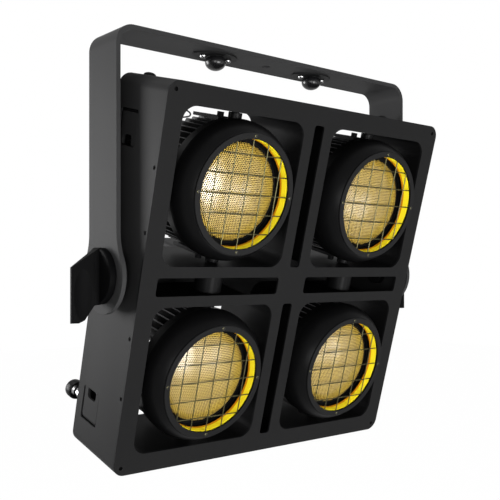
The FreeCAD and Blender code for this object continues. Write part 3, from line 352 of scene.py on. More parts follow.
def place(obj, body, nodes=()):
    bpy.context.scene.collection.objects.link(obj)
    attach(obj, body)
    if nodes:
        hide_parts(*nodes)
    return obj


def break_edges(obj, width, segments=2):
    bevel = obj.modifiers.new("broken_edges", "BEVEL")
    bevel.width = width * MM
    bevel.segments = segments
    bevel.limit_method = "ANGLE"
    bevel.angle_limit = SHARP
    bevel.harden_normals = True
    bevel.use_clamp_overlap = True
    return obj


CORNER, TIGHTER, CORNER_BAND, SCREW_KEEP = 25.0, 17.0, 5.0, 3.5
WINDOW_END, WINDOW_GROWTH, PLATE_RISE = 204.5, 3.3, 2.0
WINDOW_SKIN, WINDOW_BAND, PLATE_BAND = 3.0, 4.0, 15.0


def tight_corners(points):
    """A corner arc of radius R about c becomes one of radius r: p + (R - r)(1 - u), where u is
    the unit vector from c to p. The screw holes inside the corner stay where they are."""
    flat = points[:, [0, 2]]
    out = np.abs(flat) - [HALF_WIDTH - CORNER, HALF_HEIGHT - CORNER]
    reach = np.maximum(np.hypot(*out.T), 1e-6)[:, None]
    from_screw = np.hypot(*(np.abs(flat) - [HALF_WIDTH - SCREW_INSET, HALF_HEIGHT - SCREW_INSET]).T)
    moved = (out > -0.01).all(-1) & (reach[:, 0] > CORNER - CORNER_BAND) & (from_screw > SCREW_KEEP)
    points = points.copy()
    points[:, [0, 2]] += np.sign(flat) * (CORNER - TIGHTER) * (1 - out / reach) * moved[:, None]
    return points


def taller_windows(points):
    """The side windows' outer ends move outwards a little."""
    points = tight_corners(points)
    moved = np.abs(np.abs(points[:, 2]) - WINDOW_END) < WINDOW_BAND
    moved &= np.abs(points[:, 0]) > HALF_WIDTH - WINDOW_SKIN
    points[:, 2] += np.sign(points[:, 2]) * WINDOW_GROWTH * moved
    return points


def raised_plates(points):
    """The link plates sit almost flush in those windows and fill them."""
    points = points + np.sign(points[:, :1]) * [PLATE_RISE, 0, 0]
    moved = np.abs(points[:, 2]) > WINDOW_END - PLATE_BAND
    points[:, 2] += np.sign(points[:, 2]) * WINDOW_GROWTH * moved
    return points


RESHAPED = {"housing_shell": taller_windows, "front_plate": tight_corners, "rear_plate": tight_corners,
            "link_plates": raised_plates}


def dress(node, edge, other=None, rule=None):
    """A merged copy of a node with its edges broken by this many millimetres. Where the rule
    says so of a face's centre and normal, in the housing's frame, it gets the other finish."""
    mesh = frame["nodes"][node].data.copy()
    mesh.name = node + "_dressed"
    for layer in [layer.name for layer in mesh.attributes if layer.name == "custom_normal"]:
        mesh.attributes.remove(mesh.attributes[layer])
    work = bmesh.new()
    work.from_mesh(mesh)
    bmesh.ops.remove_doubles(work, verts=work.verts, dist=MERGE)
    bmesh.ops.dissolve_limit(work, angle_limit=FLAT, verts=work.verts, edges=work.edges)
    work.to_mesh(mesh)
    work.free()
    if node in RESHAPED:
        points = np.empty((len(mesh.vertices), 3))
        mesh.vertices.foreach_get("co", points.ravel())
        local = (points - pivot) @ turn.T / MM + [0, PIVOT_DEPTH, 0]
        mesh.vertices.foreach_set("co", housed(RESHAPED[node](local)).ravel())
        mesh.update()
    mesh.shade_smooth()
    mesh.set_sharp_from_angle(angle=SHARP)
    if other:
        centres, normals = (np.empty((len(mesh.polygons), 3)) for _ in range(2))
        mesh.polygons.foreach_get("center", centres.ravel())
        mesh.polygons.foreach_get("normal", normals.ravel())
        mesh.materials.append(other)
        chosen = rule((centres - pivot) @ turn.T / MM, normals @ turn.T)
        mesh.polygons.foreach_set("material_index", chosen.astype(int))
    obj = bpy.data.objects.new(node + "_dressed", mesh)
    place(obj, body_of[node], [node])
    return break_edges(obj, edge) if edge else obj


EDGES = {
    "yoke": 0.8, "friction_washers": 0.6,
    "tilt_hubs": 0.6, "housing_shell": 0.5, "front_plate": 0.6, "rear_plate": 0.4, "cell_ducts": 0.3,
    "pan_posts": 0.4, "link_pockets": 0.3, "link_plates": 0.5, "link_hardware": 0.4, "top_bumpers": 0,
    "driver_box": 0.8, "control_panel": 0.3, "display": 0.2, "power_sockets": 0.4, "data_sockets": 0.4,
    "safety_eye": 0,
}
for corner in CORNERS:
    EDGES["menu_button_" + corner] = 0.5
    EDGES["pan_bracket_" + corner] = 0.5
for node, edge in EDGES.items():
    if node == "front_plate":
        # The plate's side faces, those not facing front or back, get the painted shade.
        dress(node, edge, plate_edge_shade, lambda centres, normals: np.abs(normals[:, 1]) < 0.5)
    else:
        dress(node, edge)
print("dressed", len(EDGES), "nodes")

# %% [markdown]
# New pieces are surfaces computed as whole arrays. A turned piece is a profile of radius and
# depth carried round the lamp's axis: point = (r cos a, depth, r sin a) for every angle a.

# %% Turned surfaces


def quads(rows, columns, close_rows=False, close_columns=True):
    """The four corners of every cell of a grid of points, as indices."""
    row = np.arange(rows if close_rows else rows - 1)[:, None]
    column = np.arange(columns if close_columns else columns - 1)[None, :]
    next_row, next_column = (row + 1) % rows, (column + 1) % columns
    cells = [row * columns + column, row * columns + next_column,
             next_row * columns + next_column, next_row * columns + column]
    return np.stack(np.broadcast_arrays(*cells), -1).reshape(-1, 4)


def turned(profile, steps, closed=False):
    """Profile points (radius, depth) turned round the depth axis in so many steps."""
    profile = np.asarray(profile, float)
    angle = np.linspace(0, 2 * np.pi, steps, endpoint=False)
    radius, depth = profile[:, :1], profile[:, 1:]
    points = np.stack([radius * np.cos(angle), depth + 0 * angle, radius * np.sin(angle)], -1)
    return points.reshape(-1, 3), quads(len(profile), steps, close_rows=closed)


def arc(centre, radius, start, end, count):
    """Points on an arc in the profile's plane, angles in degrees from the radius axis."""
    angle = np.radians(np.linspace(start, end, count))
    return np.stack([centre[0] + radius * np.cos(angle), centre[1] + radius * np.sin(angle)], -1)


def new_piece(name, points, faces, slot, body, nodes=(), material=None, smooth=True):
    """A mesh piece from arrays of points in metres and faces of indices."""
    mesh = bpy.data.meshes.new(name)
    mesh.from_pydata(np.asarray(points).tolist(), [], np.asarray(faces).tolist())
    work = bmesh.new()
    work.from_mesh(mesh)
    bmesh.ops.remove_doubles(work, verts=work.verts, dist=MERGE / 4)
    bmesh.ops.recalc_face_normals(work, faces=work.faces)
    work.to_mesh(mesh)
    work.free()
    mesh.materials.append(material or FINISHES[slot])
    if smooth:
        mesh.shade_smooth()
        mesh.set_sharp_from_angle(angle=SHARP)
    obj = bpy.data.objects.new(name, mesh)
    return place(obj, body, nodes)


def in_pod(corner, points):
    """Points round a lamp's axis, carried to that lamp."""
    x, height = pod_centre(corner)
    return housed(np.asarray(points, float) + [x, 0, height])


# %% [markdown]
# The bell is the lamp's front shell: a fat round shoulder, a faint parting line, then a
# straight band. All of it is one profile. The shoulder bulges as a part of a circle
# through the front lip and the widest point.

# %% Bells
BEZEL_FRONT, BEZEL_THICKNESS = -20.5, 2.0
LIP_FRONT = BEZEL_FRONT + BEZEL_THICKNESS
BELL_FRONT, BELL_WIDE, BELL_REAR, BELL_WALL = 79.5, 92.0, 90.0, 3.0
WIDE_DEPTH, REAR_DEPTH = 12.0, 30.0
LIP_RADIUS, SHELF_RADIUS, SHELF_FRONT, SHELF_REAR = 72.5, 68.5, 2.0, 5.0
PARTING = 0.35
ROUND_STEPS = 192


def bell_profile():
    """Lip, shoulder arc, parting groove, band, and back along the inner wall."""
    rise, run = BELL_WIDE - BELL_FRONT, WIDE_DEPTH - LIP_FRONT
    bow = (rise * rise + run * run) / (2 * rise)
    start = math.degrees(math.asin(run / bow))
    shoulder = arc((BELL_WIDE - bow, WIDE_DEPTH), bow, -start, 0, 26)
    groove = [(BELL_WIDE, WIDE_DEPTH + 0.6), (BELL_WIDE - PARTING, WIDE_DEPTH + 0.9),
              (BELL_WIDE - PARTING, WIDE_DEPTH + 1.4), (BELL_WIDE - 0.1, WIDE_DEPTH + 1.7)]
    band = [(BELL_REAR + 0.2, REAR_DEPTH - 0.6), (BELL_REAR - 0.5, REAR_DEPTH)]
    inner = [(BELL_REAR - BELL_WALL, REAR_DEPTH), (BELL_REAR - BELL_WALL, SHELF_REAR),
             (SHELF_RADIUS, SHELF_REAR), (SHELF_RADIUS, SHELF_FRONT), (LIP_RADIUS + 1.5, SHELF_FRONT),
             (LIP_RADIUS, SHELF_FRONT - 1.5), (LIP_RADIUS, LIP_FRONT)]
    return np.concatenate([shoulder, groove, band, inner])


print("bell profile points:", len(bell_profile()))
bell_points, bell_faces = turned(bell_profile(), ROUND_STEPS, closed=True)
BOSS_RADIUS, BOSS_START, BOSS_END = 9.0, 86.4, 98.4


def boss_profile():
    """The upright pan boss as (radius, height)."""
    return [(0.0, BOSS_START), (BOSS_RADIUS, BOSS_START), (BOSS_RADIUS, BOSS_END - 0.6),
            (BOSS_RADIUS - 0.6, BOSS_END), (6.0, BOSS_END), (5.6, BOSS_END - 1.0), (0.0, BOSS_END - 1.0)]


def boss(direction):
    points, faces = turned(boss_profile(), 40)
    return points[:, [0, 2, 1]] * [1, 1, direction] + [0, PAN_DEPTH, 0], faces


for corner in CORNERS:
    body = body_of["bell_" + corner]
    bell = new_piece("bell_shell_" + corner, in_pod(corner, bell_points), bell_faces, "cast_black", body,
                     ["bell_" + corner])
    for label, direction in (("top", 1), ("low", -1)):
        points, faces = boss(direction)
        new_piece("bell_boss_%s_%s" % (label, corner), in_pod(corner, points), faces, "cast_black", body)

# %% [markdown]
# The bezel is a flat ring that traps the wire guard, held by four small screws. A shallow
# groove separates it from the bell, and in the photograph that groove is a thin dark line.

# %% Bezels and their screws
BEZEL_INNER, BEZEL_OUTER, SCREW_CIRCLE = 70.5, 78.5, 74.4
BEZEL_EDGE = 0.5
SCREW_SIDES = 28


def bezel_profile():
    """A flat ring with broken edges, closed at its back."""
    front, back, edge = BEZEL_FRONT, BEZEL_FRONT + BEZEL_THICKNESS - 0.02, BEZEL_EDGE
    return [(BEZEL_INNER, back), (BEZEL_INNER, front + edge), (BEZEL_INNER + edge, front),
            (BEZEL_OUTER - edge, front), (BEZEL_OUTER, front + edge), (BEZEL_OUTER, back)]


def screw(radius, height, recess=0.55, sides=SCREW_SIDES):
    """A button head with a six-sided socket: rings of points (r cos a, depth, r sin a) from the
    rim to the socket's floor, with the head's top facing -depth."""
    angle = np.linspace(0, 2 * np.pi, sides, endpoint=False)
    hexagon = np.cos(np.pi / 6) / np.cos((angle % (np.pi / 3)) - np.pi / 6)
    rings = [(radius, 0.0, 0), (radius, -0.35 * height, 0), (radius * 0.9, -0.75 * height, 0),
             (radius * 0.7, -height, 0), (radius * recess, -height, 1), (radius * recess, -0.2 * height, 1),
             (0.0, -0.2 * height, 1)]
    points = [np.stack([r * np.cos(angle) * (hexagon if hexed else 1), depth + 0 * angle,
                        r * np.sin(angle) * (hexagon if hexed else 1)], -1) for r, depth, hexed in rings]
    return np.concatenate(points), quads(len(rings), sides)


# The heads' rounded shoulders get a brighter steel: a painted highlight on the rim.
SHOULDER_HIGHLIGHT_FACES = np.repeat([0, 1, 1, 0, 0, 0], SCREW_SIDES)


def two_tone(obj, other, chosen):
    """Gives the other finish to the faces that chosen marks with a 1."""
    obj.data.materials.append(other)
    obj.data.polygons.foreach_set("material_index", np.asarray(chosen, int))


def many(shape, centres):
    """Copies of one shape's points and faces at several centres, as one pair of arrays."""
    points, faces = shape
    centres = np.asarray(centres, float)
    all_points = (points[None] + centres[:, None]).reshape(-1, 3)
    offsets = np.arange(len(centres))[:, None, None] * len(points)
    return all_points, (faces[None] + offsets).reshape(-1, faces.shape[1])


compass = [(SCREW_CIRCLE * math.cos(turn_at), BEZEL_FRONT, SCREW_CIRCLE * math.sin(turn_at))
           for turn_at in (0, math.pi / 2, math.pi, 3 * math.pi / 2)]
for corner in CORNERS:
    body = body_of["bezel_" + corner]
    points, faces = turned(bezel_profile(), ROUND_STEPS, closed=True)
    new_piece("bezel_ring_" + corner, in_pod(corner, points), faces, "cast_black", body, ["bezel_" + corner],
              rim_black)
    points, faces = many(screw(2.2, 0.6), compass)
    heads = new_piece("bezel_screws_" + corner, in_pod(corner, points), faces, "zinc_black", body)
    # Painted highlight: the screws' shoulders in a brighter steel.
    two_tone(heads, guard_steel, np.tile(SHOULDER_HIGHLIGHT_FACES, len(compass)))

# %% [markdown]
# The guard is five upright and five level wires of round steel. Each is a circle carried
# along a straight line, with its ends tucked behind the bezel.

# %% Wire guards
WIRE_RADIUS = 0.75
WIRE_SHARES = np.array([-0.72, -0.36, 0.0, 0.36, 0.72])
WIRE_REACH = LIP_RADIUS - 0.5


def rod(half, radius, sides=14, rings=2):
    """A round bar along x from -half to half, with flat ends."""
    along = np.concatenate([[-half], np.linspace(-half, half, rings), [half]])
    size = np.concatenate([[0], np.full(rings, radius), [0]])
    angle = np.linspace(0, 2 * np.pi, sides, endpoint=False)
    points = np.stack(np.broadcast_arrays(along[:, None], size[:, None] * np.cos(angle),
                                          size[:, None] * np.sin(angle)), -1)
    return points.reshape(-1, 3), quads(rings + 2, sides)


def guard():
    """All ten wires as one pair of arrays."""
    points, faces, count = [], [], 0
    layer = LIP_FRONT + WIRE_RADIUS
    for upright_wire in (True, False):
        for share in WIRE_SHARES:
            place_at = share * BEZEL_INNER
            half = math.sqrt(WIRE_REACH ** 2 - (abs(place_at) + WIRE_RADIUS) ** 2)
            bar, cells = rod(half, WIRE_RADIUS)
            bar = bar[:, [2, 1, 0]] + [place_at, layer, 0] if upright_wire else (
                bar + [0, layer + 2 * WIRE_RADIUS, place_at])
            points.append(bar)
            faces.append(cells + count)
            count += len(bar)
    return np.concatenate(points), np.concatenate(faces)


for corner in CORNERS:
    points, faces = guard()
    new_piece("guard_wires_" + corner, in_pod(corner, points), faces, "guard_wire",
              body_of["wire_guard_" + corner], ["wire_guard_" + corner])

# %% [markdown]
# Behind the guard a glossy yellow wall runs round the inside of the bell. It has fine ribs
# along its depth: its radius is r = r0 - a |cos(n angle)|, so the ribs stand inwards.

# %% Amber rings
AMBER_INNER, AMBER_OUTER, RIB_HEIGHT, RIB_COUNT = 70.0, 72.3, 0.45, 192
COMB_LENGTH = 3.0
AMBER_FRONT, AMBER_REAR = LIP_FRONT + 4 * WIRE_RADIUS, LIP_FRONT + 4 * WIRE_RADIUS + 12.0


def amber_ring():
    """Inner wall with ribs, plain outer wall, closed at both ends."""
    steps = RIB_COUNT * 6
    angle = np.linspace(0, 2 * np.pi, steps, endpoint=False)
    rib = RIB_HEIGHT * np.abs(np.cos(RIB_COUNT * angle / 2))
    depths = [(AMBER_FRONT, 0.0), (AMBER_FRONT + 0.8, 0.2), (AMBER_REAR - COMB_LENGTH, 0.3),
              (AMBER_REAR - 0.6, 1.6), (AMBER_REAR, 1.6)]
    rings = [(AMBER_INNER + RIB_HEIGHT - share * rib, depth) for depth, share in depths]
    rings += [(AMBER_OUTER + 0 * rib, AMBER_REAR), (AMBER_OUTER + 0 * rib, AMBER_FRONT)]
    points = [np.stack([r * np.cos(angle), depth + 0 * angle, r * np.sin(angle)], -1) for r, depth in rings]
    return np.concatenate(points), quads(len(rings), steps, close_rows=True)


for corner in CORNERS:
    points, faces = amber_ring()
    wall = new_piece("amber_wall_" + corner, in_pod(corner, points), faces, "amber",
                     body_of["amber_ring_" + corner], ["amber_ring_" + corner])
    # The ribbed rear band and the end get the darker orange of painted shade.
    two_tone(wall, amber_comb, np.repeat([0, 0, 1, 1, 1, 0, 0], RIB_COUNT * 6))

# %% [markdown]
# The dome is the hard piece: about two thousand six-sided holes in a curved
# sheet. A hexagonal lattice gives the holes' centres, and each cell is the ring between its
# outer hexagon and its hole, plus the hole's wall. Lifting every flat point (x, z) to the
# dome's sphere, depth = top + R - sqrt(R^2 - x^2 - z^2), curves the whole sheet at once.

# %% Honeycomb domes
DOME_RADIUS, DOME_RISE, DOME_PITCH, HOLE_SHARE, SHEET = 68.2, 14.0, 2.65, 0.76, 1.8
CELL_REACH = 0.62
SKIRT_START, SHEET_EDGE, SKIRT_DROP = 54.0, 64.5, 3.2
DOME_BOW = (DOME_RADIUS ** 2 + DOME_RISE ** 2) / (2 * DOME_RISE)
DOME_TOP = SHELF_FRONT - DOME_RISE


def lift(flat, sink=0.0):
    """Flat points (x, z) lifted to the sphere, then sunk along the depth. Near the rim the sheet
    turns down more steeply, by drop ((r - start) / (edge - start))^2."""
    reach = np.hypot(flat[..., 0], flat[..., 1])
    rest = np.sqrt(np.maximum(DOME_BOW ** 2 - reach ** 2, 0))
    skirt = SKIRT_DROP * np.clip((reach - SKIRT_START) / (SHEET_EDGE - SKIRT_START), 0, 1) ** 2
    return np.stack([flat[..., 0], DOME_TOP + DOME_BOW - rest + skirt + sink, flat[..., 1]], -1)


def lattice():
    """Centres of a hexagonal lattice inside the dome's rim."""
    count = int(DOME_RADIUS / DOME_PITCH) + 3
    column, row = np.meshgrid(np.arange(-count, count + 1), np.arange(-count, count + 1))
    centres = np.stack([(column + 0.5 * (row % 2)) * DOME_PITCH, row * DOME_PITCH * math.sqrt(3) / 2], -1)
    centres = centres.reshape(-1, 2)
    return centres[np.hypot(*centres.T) < SHEET_EDGE - DOME_PITCH * CELL_REACH]


def honeycomb():
    """Every cell's sheet ring and hole wall: points, faces and the walls' share of them."""
    centres = lattice()
    angle = np.radians(np.arange(6) * 60 + 30)
    hexagon = np.stack([np.cos(angle), np.sin(angle)], -1)
    outer = centres[:, None] + hexagon * DOME_PITCH / math.sqrt(3)
    hole = centres[:, None] + hexagon * DOME_PITCH / math.sqrt(3) * HOLE_SHARE
    points = np.concatenate([lift(outer), lift(hole), lift(hole), lift(hole, SHEET)], axis=1)
    sheet, wall = quads(2, 6), quads(2, 6) + 12
    base = np.arange(len(centres))[:, None, None] * 24
    return points.reshape(-1, 3), (base + sheet).reshape(-1, 4), (base + wall).reshape(-1, 4)


def dome_back():
    """A dark dome behind the sheet, carried on to the lens's rim, as one turned profile. Its near-black paints the
    shade seen through the holes.
    """
    radius = np.linspace(0, SHEET_EDGE, 30)
    depth = lift(np.stack([radius, 0 * radius], -1), SHEET)[:, 1]
    rim = [(DOME_RADIUS, SHELF_REAR - 0.8), (DOME_RADIUS, SHELF_REAR), (0, SHELF_REAR)]
    return np.concatenate([np.stack([radius, np.minimum(depth, SHELF_REAR - 0.3)], -1), rim])


for corner in CORNERS:
    body = body_of["lens_" + corner]
    points, sheet, wall = honeycomb()
    dome = new_piece("honeycomb_dome_" + corner, in_pod(corner, points), np.concatenate([sheet, wall]),
                     "gold_lens", body, ["lens_" + corner], smooth=False)
    # The hole walls take the dark brown of painted shade.
    dome.data.materials.append(hole_shade_colour)
    sides = np.zeros(len(dome.data.polygons), int)
    sides[len(sheet):] = 1
    dome.data.polygons.foreach_set("material_index", sides)
    points, faces = turned(dome_back(), 96)
    new_piece("dome_back_" + corner, in_pod(corner, points), faces, "gold_lens", body, material=shade_black)
print("holes in a dome:", len(lattice()))

# %% [markdown]
# Heat sinks are cast with thin radial fins. The camera sees them only as a comb of black
# blades with pale edges, so each fin needs clean rounded edges more than it needs texture.
# Those pale edges are a painted highlight: the fins' outer end faces get a lighter grey.

# %% Heat sinks
FIN_TIP, FIN_FACING, FIN_BREAK = 84.0, 0.7, 0.25


def fin_tips(corner):
    """True for faces near the fins' outer ends that look away from the lamp's axis; these get the painted
    highlight.
    """
    middle = np.array(pod_centre(corner))

    def rule(centres, normals):
        out = centres[:, [0, 2]] - middle
        reach = np.hypot(*out.T)
        return (reach > FIN_TIP) & ((out * normals[:, [0, 2]]).sum(-1) > FIN_FACING * reach)

    return rule


for corner in CORNERS:
    dress("heat_sink_" + corner, FIN_BREAK, fin_tip_highlight, fin_tips(corner))

# %% [markdown]
# Screws hold the front plate and the side flanges. They are the small black dots of the
# photograph, sunk a little below the sheet, each with a six-sided socket. Their near-black is
# partly their own black and partly painted shade, standing in for the shade in their holes.

# %% Housing screws
SIDE_SCREW_DEPTH, SIDE_SCREW_ROWS, SCREW_SINK = 5.5, (67.0, 146.0), 1.6


def toward(points, direction):
    """Turns a shape whose top faces -depth to face -x or +x instead."""
    return points[:, [1, 0, 2]] * [-direction, 1, 1]


points, faces = screw(2.5, 0.8)
corner_spots = [(x * (HALF_WIDTH - SCREW_INSET), SCREW_SINK, z * (HALF_HEIGHT - SCREW_INSET))
                for x in (-1, 1) for z in (-1, 1)]
front_points, front_faces = many((points, faces), corner_spots)
sheets = [(front_points, front_faces)]
for direction in (-1, 1):
    spots = [(direction * (HALF_WIDTH - SCREW_SINK), SIDE_SCREW_DEPTH, z * row)
             for z in (-1, 1) for row in SIDE_SCREW_ROWS]
    sheets.append(many((toward(points, direction), faces), spots))
all_points = np.concatenate([item[0] for item in sheets])
starts = np.cumsum([0] + [len(item[0]) for item in sheets[:-1]])
all_faces = np.concatenate([item[1] + start for item, start in zip(sheets, starts)])
new_piece("screw_heads", housed(all_points), all_faces, "zinc_black", "housing", ["housing_screws"],
          screw_hole_shade_black)

# %% [markdown]
# The clamp knobs are the eye-catchers of the side view. A knob's blade is tall and thin: its
# half thickness falls from the root to the edge, its root swells into the round base, and a
# long shallow hollow on each face gives the thumb a hold.

# %% Clamp knobs
KNOB_START, KNOB_FACE, KNOB_TIP, KNOB_RADIUS, KNOB_RIM = 270.3, 279.3, 313.3, 35.2, 2.0
STUD_START, STUD_RADIUS = 236.3, 6.0
ROOT_HALF, EDGE_HALF, ROOT_SWELL, ROOT_END = 5.9, 1.6, 3.0, 4.8
BLADE_REACH, BLADE_BREAK = 34.0, 0.35
HOLLOW_DEPTH, HOLLOW_WIDE, HOLLOW_TALL, HOLLOW_AT = 1.7, 40.0, 300.0, (19.0, -23.5)
LOW_EDGE = np.array([(-2, -35.2), (4.8, -36.2), (17, -54.0), (24.5, -57.5),
                     (BLADE_REACH, -57.5)])
TOP_EDGE = np.array([(-2, 35.2), (BLADE_REACH, 10.5)])


def blade(rows=84):
    """Half thickness = taper + swell (1 - x / e)^2 - (depth - x^2 / 2a - z^2 / 2b), where x is
    the way out from the base. Each column of points goes up the front and down the back."""
    root, rest = np.linspace(0, ROOT_END, 9), np.linspace(ROOT_END, BLADE_REACH, 46)[1:]
    x = np.concatenate([[-KNOB_RIM, -0.01], root, rest])
    half = np.interp(x, [ROOT_END, BLADE_REACH], [ROOT_HALF, EDGE_HALF])
    half = half + ROOT_SWELL * (1 - np.clip(x / ROOT_END, 0, 1)) ** 2
    low, top = np.interp(x, *LOW_EDGE.T), np.interp(x, *TOP_EDGE.T)
    level = np.linspace(0, 1, rows)
    z = low[:, None] + (top - low)[:, None] * level
    hollow = HOLLOW_DEPTH - (x[:, None] - HOLLOW_AT[0]) ** 2 / (2 * HOLLOW_WIDE) - (
        z - HOLLOW_AT[1]) ** 2 / (2 * HOLLOW_TALL)
    y = half[:, None] - np.maximum(hollow, 0)
    z = np.concatenate([z, z[:, ::-1]], 1)
    y = np.concatenate([-y, y[:, ::-1]], 1)
    y, z, x = np.vstack([y, 0 * y[-1:]]), np.vstack([z, z[-1:]]), np.append(x, x[-1])
    points = np.stack([KNOB_FACE + x[:, None] + 0 * y, y, z], -1)
    faces = quads(len(x), 2 * rows)
    column = np.tile(np.arange(2 * rows), len(x) - 1)
    fold = (np.arange(len(faces)) >= (len(x) - 2) * 2 * rows) & (column % rows == rows - 1)
    return points.reshape(-1, 3), faces[~fold]


knob_profile = np.concatenate([
    [(0, STUD_START), (STUD_RADIUS, STUD_START), (STUD_RADIUS, KNOB_START), (KNOB_RADIUS - 0.6, KNOB_START),
     (KNOB_RADIUS, KNOB_START + 0.6)],
    arc((KNOB_RADIUS - KNOB_RIM, KNOB_FACE - KNOB_RIM), KNOB_RIM, 0, 90, 7), [(0, KNOB_FACE)]])
for side, direction in (("left", -1), ("right", 1)):
    knob_points, knob_faces = turned(knob_profile, 96)
    body = body_of["knob_" + side]
    new_piece("knob_base_" + side, pivot + knob_points[:, [1, 0, 2]] * [direction, 1, 1] * MM, knob_faces,
              "knob_black", body, ["knob_" + side])
    knob_points, knob_faces = blade()
    break_edges(new_piece("knob_blade_" + side, pivot + knob_points * [direction, 1, 1] * MM, knob_faces,
                          "knob_black", body), BLADE_BREAK)

# %% [markdown]
# Under the yoke's bar sit two quarter-turn sockets. A pointed oval flange is the overlap of
# two circles, and the socket itself is a round cup that ends in a ball.

# %% Bracket sockets
SOCKET_AT, BAR_UNDER, FLANGE_HALF, FLANGE_SIDE, FLANGE_SHEET = 92.5, -6.0, 37.5, 23.0, 2.0
CUP_RADIUS, BORE_RADIUS, BALL_RADIUS, BALL_HEIGHT, CUP_FOOT, BORE_END = 11.9, 9.0, 14.6, 11.4, -15.0, -18.0
RIVET_RADIUS, RIVET_HEIGHT, RIVET_AT = 4.5, 4.0, 21.5


def flange():
    """Outline: |y| = sqrt(R^2 - x^2) - (R - side). Four rings of points, the inner two round."""
    angle = np.linspace(0, 2 * np.pi, 96, endpoint=False)
    bow = (FLANGE_HALF ** 2 + FLANGE_SIDE ** 2) / (2 * FLANGE_SIDE)
    x = FLANGE_HALF * np.cos(angle)
    y = np.sign(np.sin(angle)) * (np.sqrt(bow ** 2 - x ** 2) - (bow - FLANGE_SIDE))
    under = BAR_UNDER - FLANGE_SHEET
    rings = [(x, y, BAR_UNDER), (x, y, under + 0.4), (x * 0.985, y * 0.985, under),
             (CUP_RADIUS * np.cos(angle), CUP_RADIUS * np.sin(angle), under),
             (BORE_RADIUS * np.cos(angle), BORE_RADIUS * np.sin(angle), BAR_UNDER)]
    points = np.concatenate([np.stack([a, b, c + 0 * a], -1) for a, b, c in rings])
    return points, quads(len(rings), len(angle), close_rows=True)


def socket_cup():
    """A ball under a short cup, and the stud's bore above, as (radius, height)."""
    angle = np.radians(np.linspace(-90, 37, 26))
    ball = np.stack([BALL_RADIUS * np.cos(angle), CUP_FOOT + BALL_HEIGHT * np.sin(angle)], -1)
    rest = [(CUP_RADIUS, ball[-1, 1] + 0.3), (CUP_RADIUS, BAR_UNDER), (BORE_RADIUS, BAR_UNDER),
            (BORE_RADIUS, BORE_END), (0, BORE_END)]
    points, faces = turned(np.concatenate([ball, rest]), 64)
    return points[:, [0, 2, 1]], faces


points, faces = many(flange(), [(-SOCKET_AT, 0, 0), (SOCKET_AT, 0, 0)])
new_piece("socket_flanges", points * MM, faces, "zinc_black", body_of["bracket_sockets"],
          ["bracket_sockets"], panel_black)
points, faces = many(socket_cup(), [(-SOCKET_AT, 0, 0), (SOCKET_AT, 0, 0)])
new_piece("socket_cups", points * MM, faces, "zinc_black", body_of["bracket_sockets"], material=zinc_black)
points, faces = screw(RIVET_RADIUS, RIVET_HEIGHT, 0.5)
rivet_spots = [(side * SOCKET_AT + turn_at * RIVET_AT, 0, BAR_UNDER - FLANGE_SHEET)
               for side in (-1, 1) for turn_at in (-1, 1)]
points, faces = many((points[:, [0, 2, 1]], faces), rivet_spots)
rivets = new_piece("socket_rivets", points * MM, faces, "zinc_black", body_of["bracket_sockets"])
# Painted highlight: the rivets' shoulders in a brighter steel.
two_tone(rivets, screw_steel, np.tile(SHOULDER_HIGHLIGHT_FACES, len(rivet_spots)))

# %% [markdown]
# Behind each window a spring pull knob sticks out of the back: a thick round rim, hollowed in
# front round a pale cone, on a pin.

# %% Pull knobs
PULL_X, PULL_HEIGHT, PIN_RADIUS, PIN_START, GRIP_START = 238.0, 187.0, 3.0, 71.0, 134.3
PULL_PROFILE = [(0, PIN_START), (PIN_RADIUS, PIN_START), (PIN_RADIUS, GRIP_START), (8, GRIP_START + 3),
                (11.2, GRIP_START), (12.4, GRIP_START + 0.8), (13, GRIP_START + 2.8), (13, GRIP_START + 10.5),
                (12.4, GRIP_START + 13.2), (11.2, GRIP_START + 14), (0, GRIP_START + 14)]
PULL_PALE = [0, 0, 1, 0, 0, 0, 0, 0, 0, 0]
for corner in CORNERS:
    x, height = pod_centre(corner)
    points, faces = turned(PULL_PROFILE, 64)
    place_at = [math.copysign(PULL_X, x), 0, math.copysign(PULL_HEIGHT, height)]
    grip = new_piece("pull_grip_" + corner, housed(points + place_at), faces, slot_of["pull_knob_" + corner],
                     body_of["pull_knob_" + corner], ["pull_knob_" + corner], cast_black)
    two_tone(grip, screw_steel, np.repeat(PULL_PALE, 64))

# %% [markdown]
# Each lamp has one thin lead that leaves the duct's ceiling, makes a loop and ends in a gland
# on the heat sink. It is a smooth spline steered by listed points. The lamp pans while
# the ceiling stays, so the lead bends between the two bodies.

# %% Lamp leads
LEAD_RADIUS = 1.0
CEILING, GLAND_REACH, GLAND_ANGLE, GLAND_DEPTH = 99.0, 87.0, math.radians(40), 80.0
GLAND_STRAIGHT = 6.0
LEAD_ROUTE = [(-65, 81, 93.5), (-53, 80, 91.5), (-41, 79, 90.5), (-33.5, 79, 88), (-33, 79, 83.5),
              (-40, 80, 81.5), (-50, 80, 79.5), (-59.5, 80, 76)]


def smooth_route(points, radius, name):
    """A tube along the spline that these control points steer, as a mesh."""
    curve = bpy.data.curves.new(name, "CURVE")
    curve.dimensions = "3D"
    spline = curve.splines.new("NURBS")
    spline.points.add(len(points) - 1)
    spline.points.foreach_set("co", np.c_[points, np.ones(len(points))].ravel())
    spline.order_u = 3
    spline.use_endpoint_u = True
    curve.resolution_u = 8
    curve.bevel_depth = radius
    curve.bevel_resolution = 3
    curve.use_fill_caps = True
    holder = bpy.data.objects.new(name, curve)
    mesh = bpy.data.meshes.new_from_object(holder)
    bpy.data.objects.remove(holder)
    return mesh


def radial(reach):
    return (-reach * math.sin(GLAND_ANGLE), GLAND_DEPTH, reach * math.cos(GLAND_ANGLE))


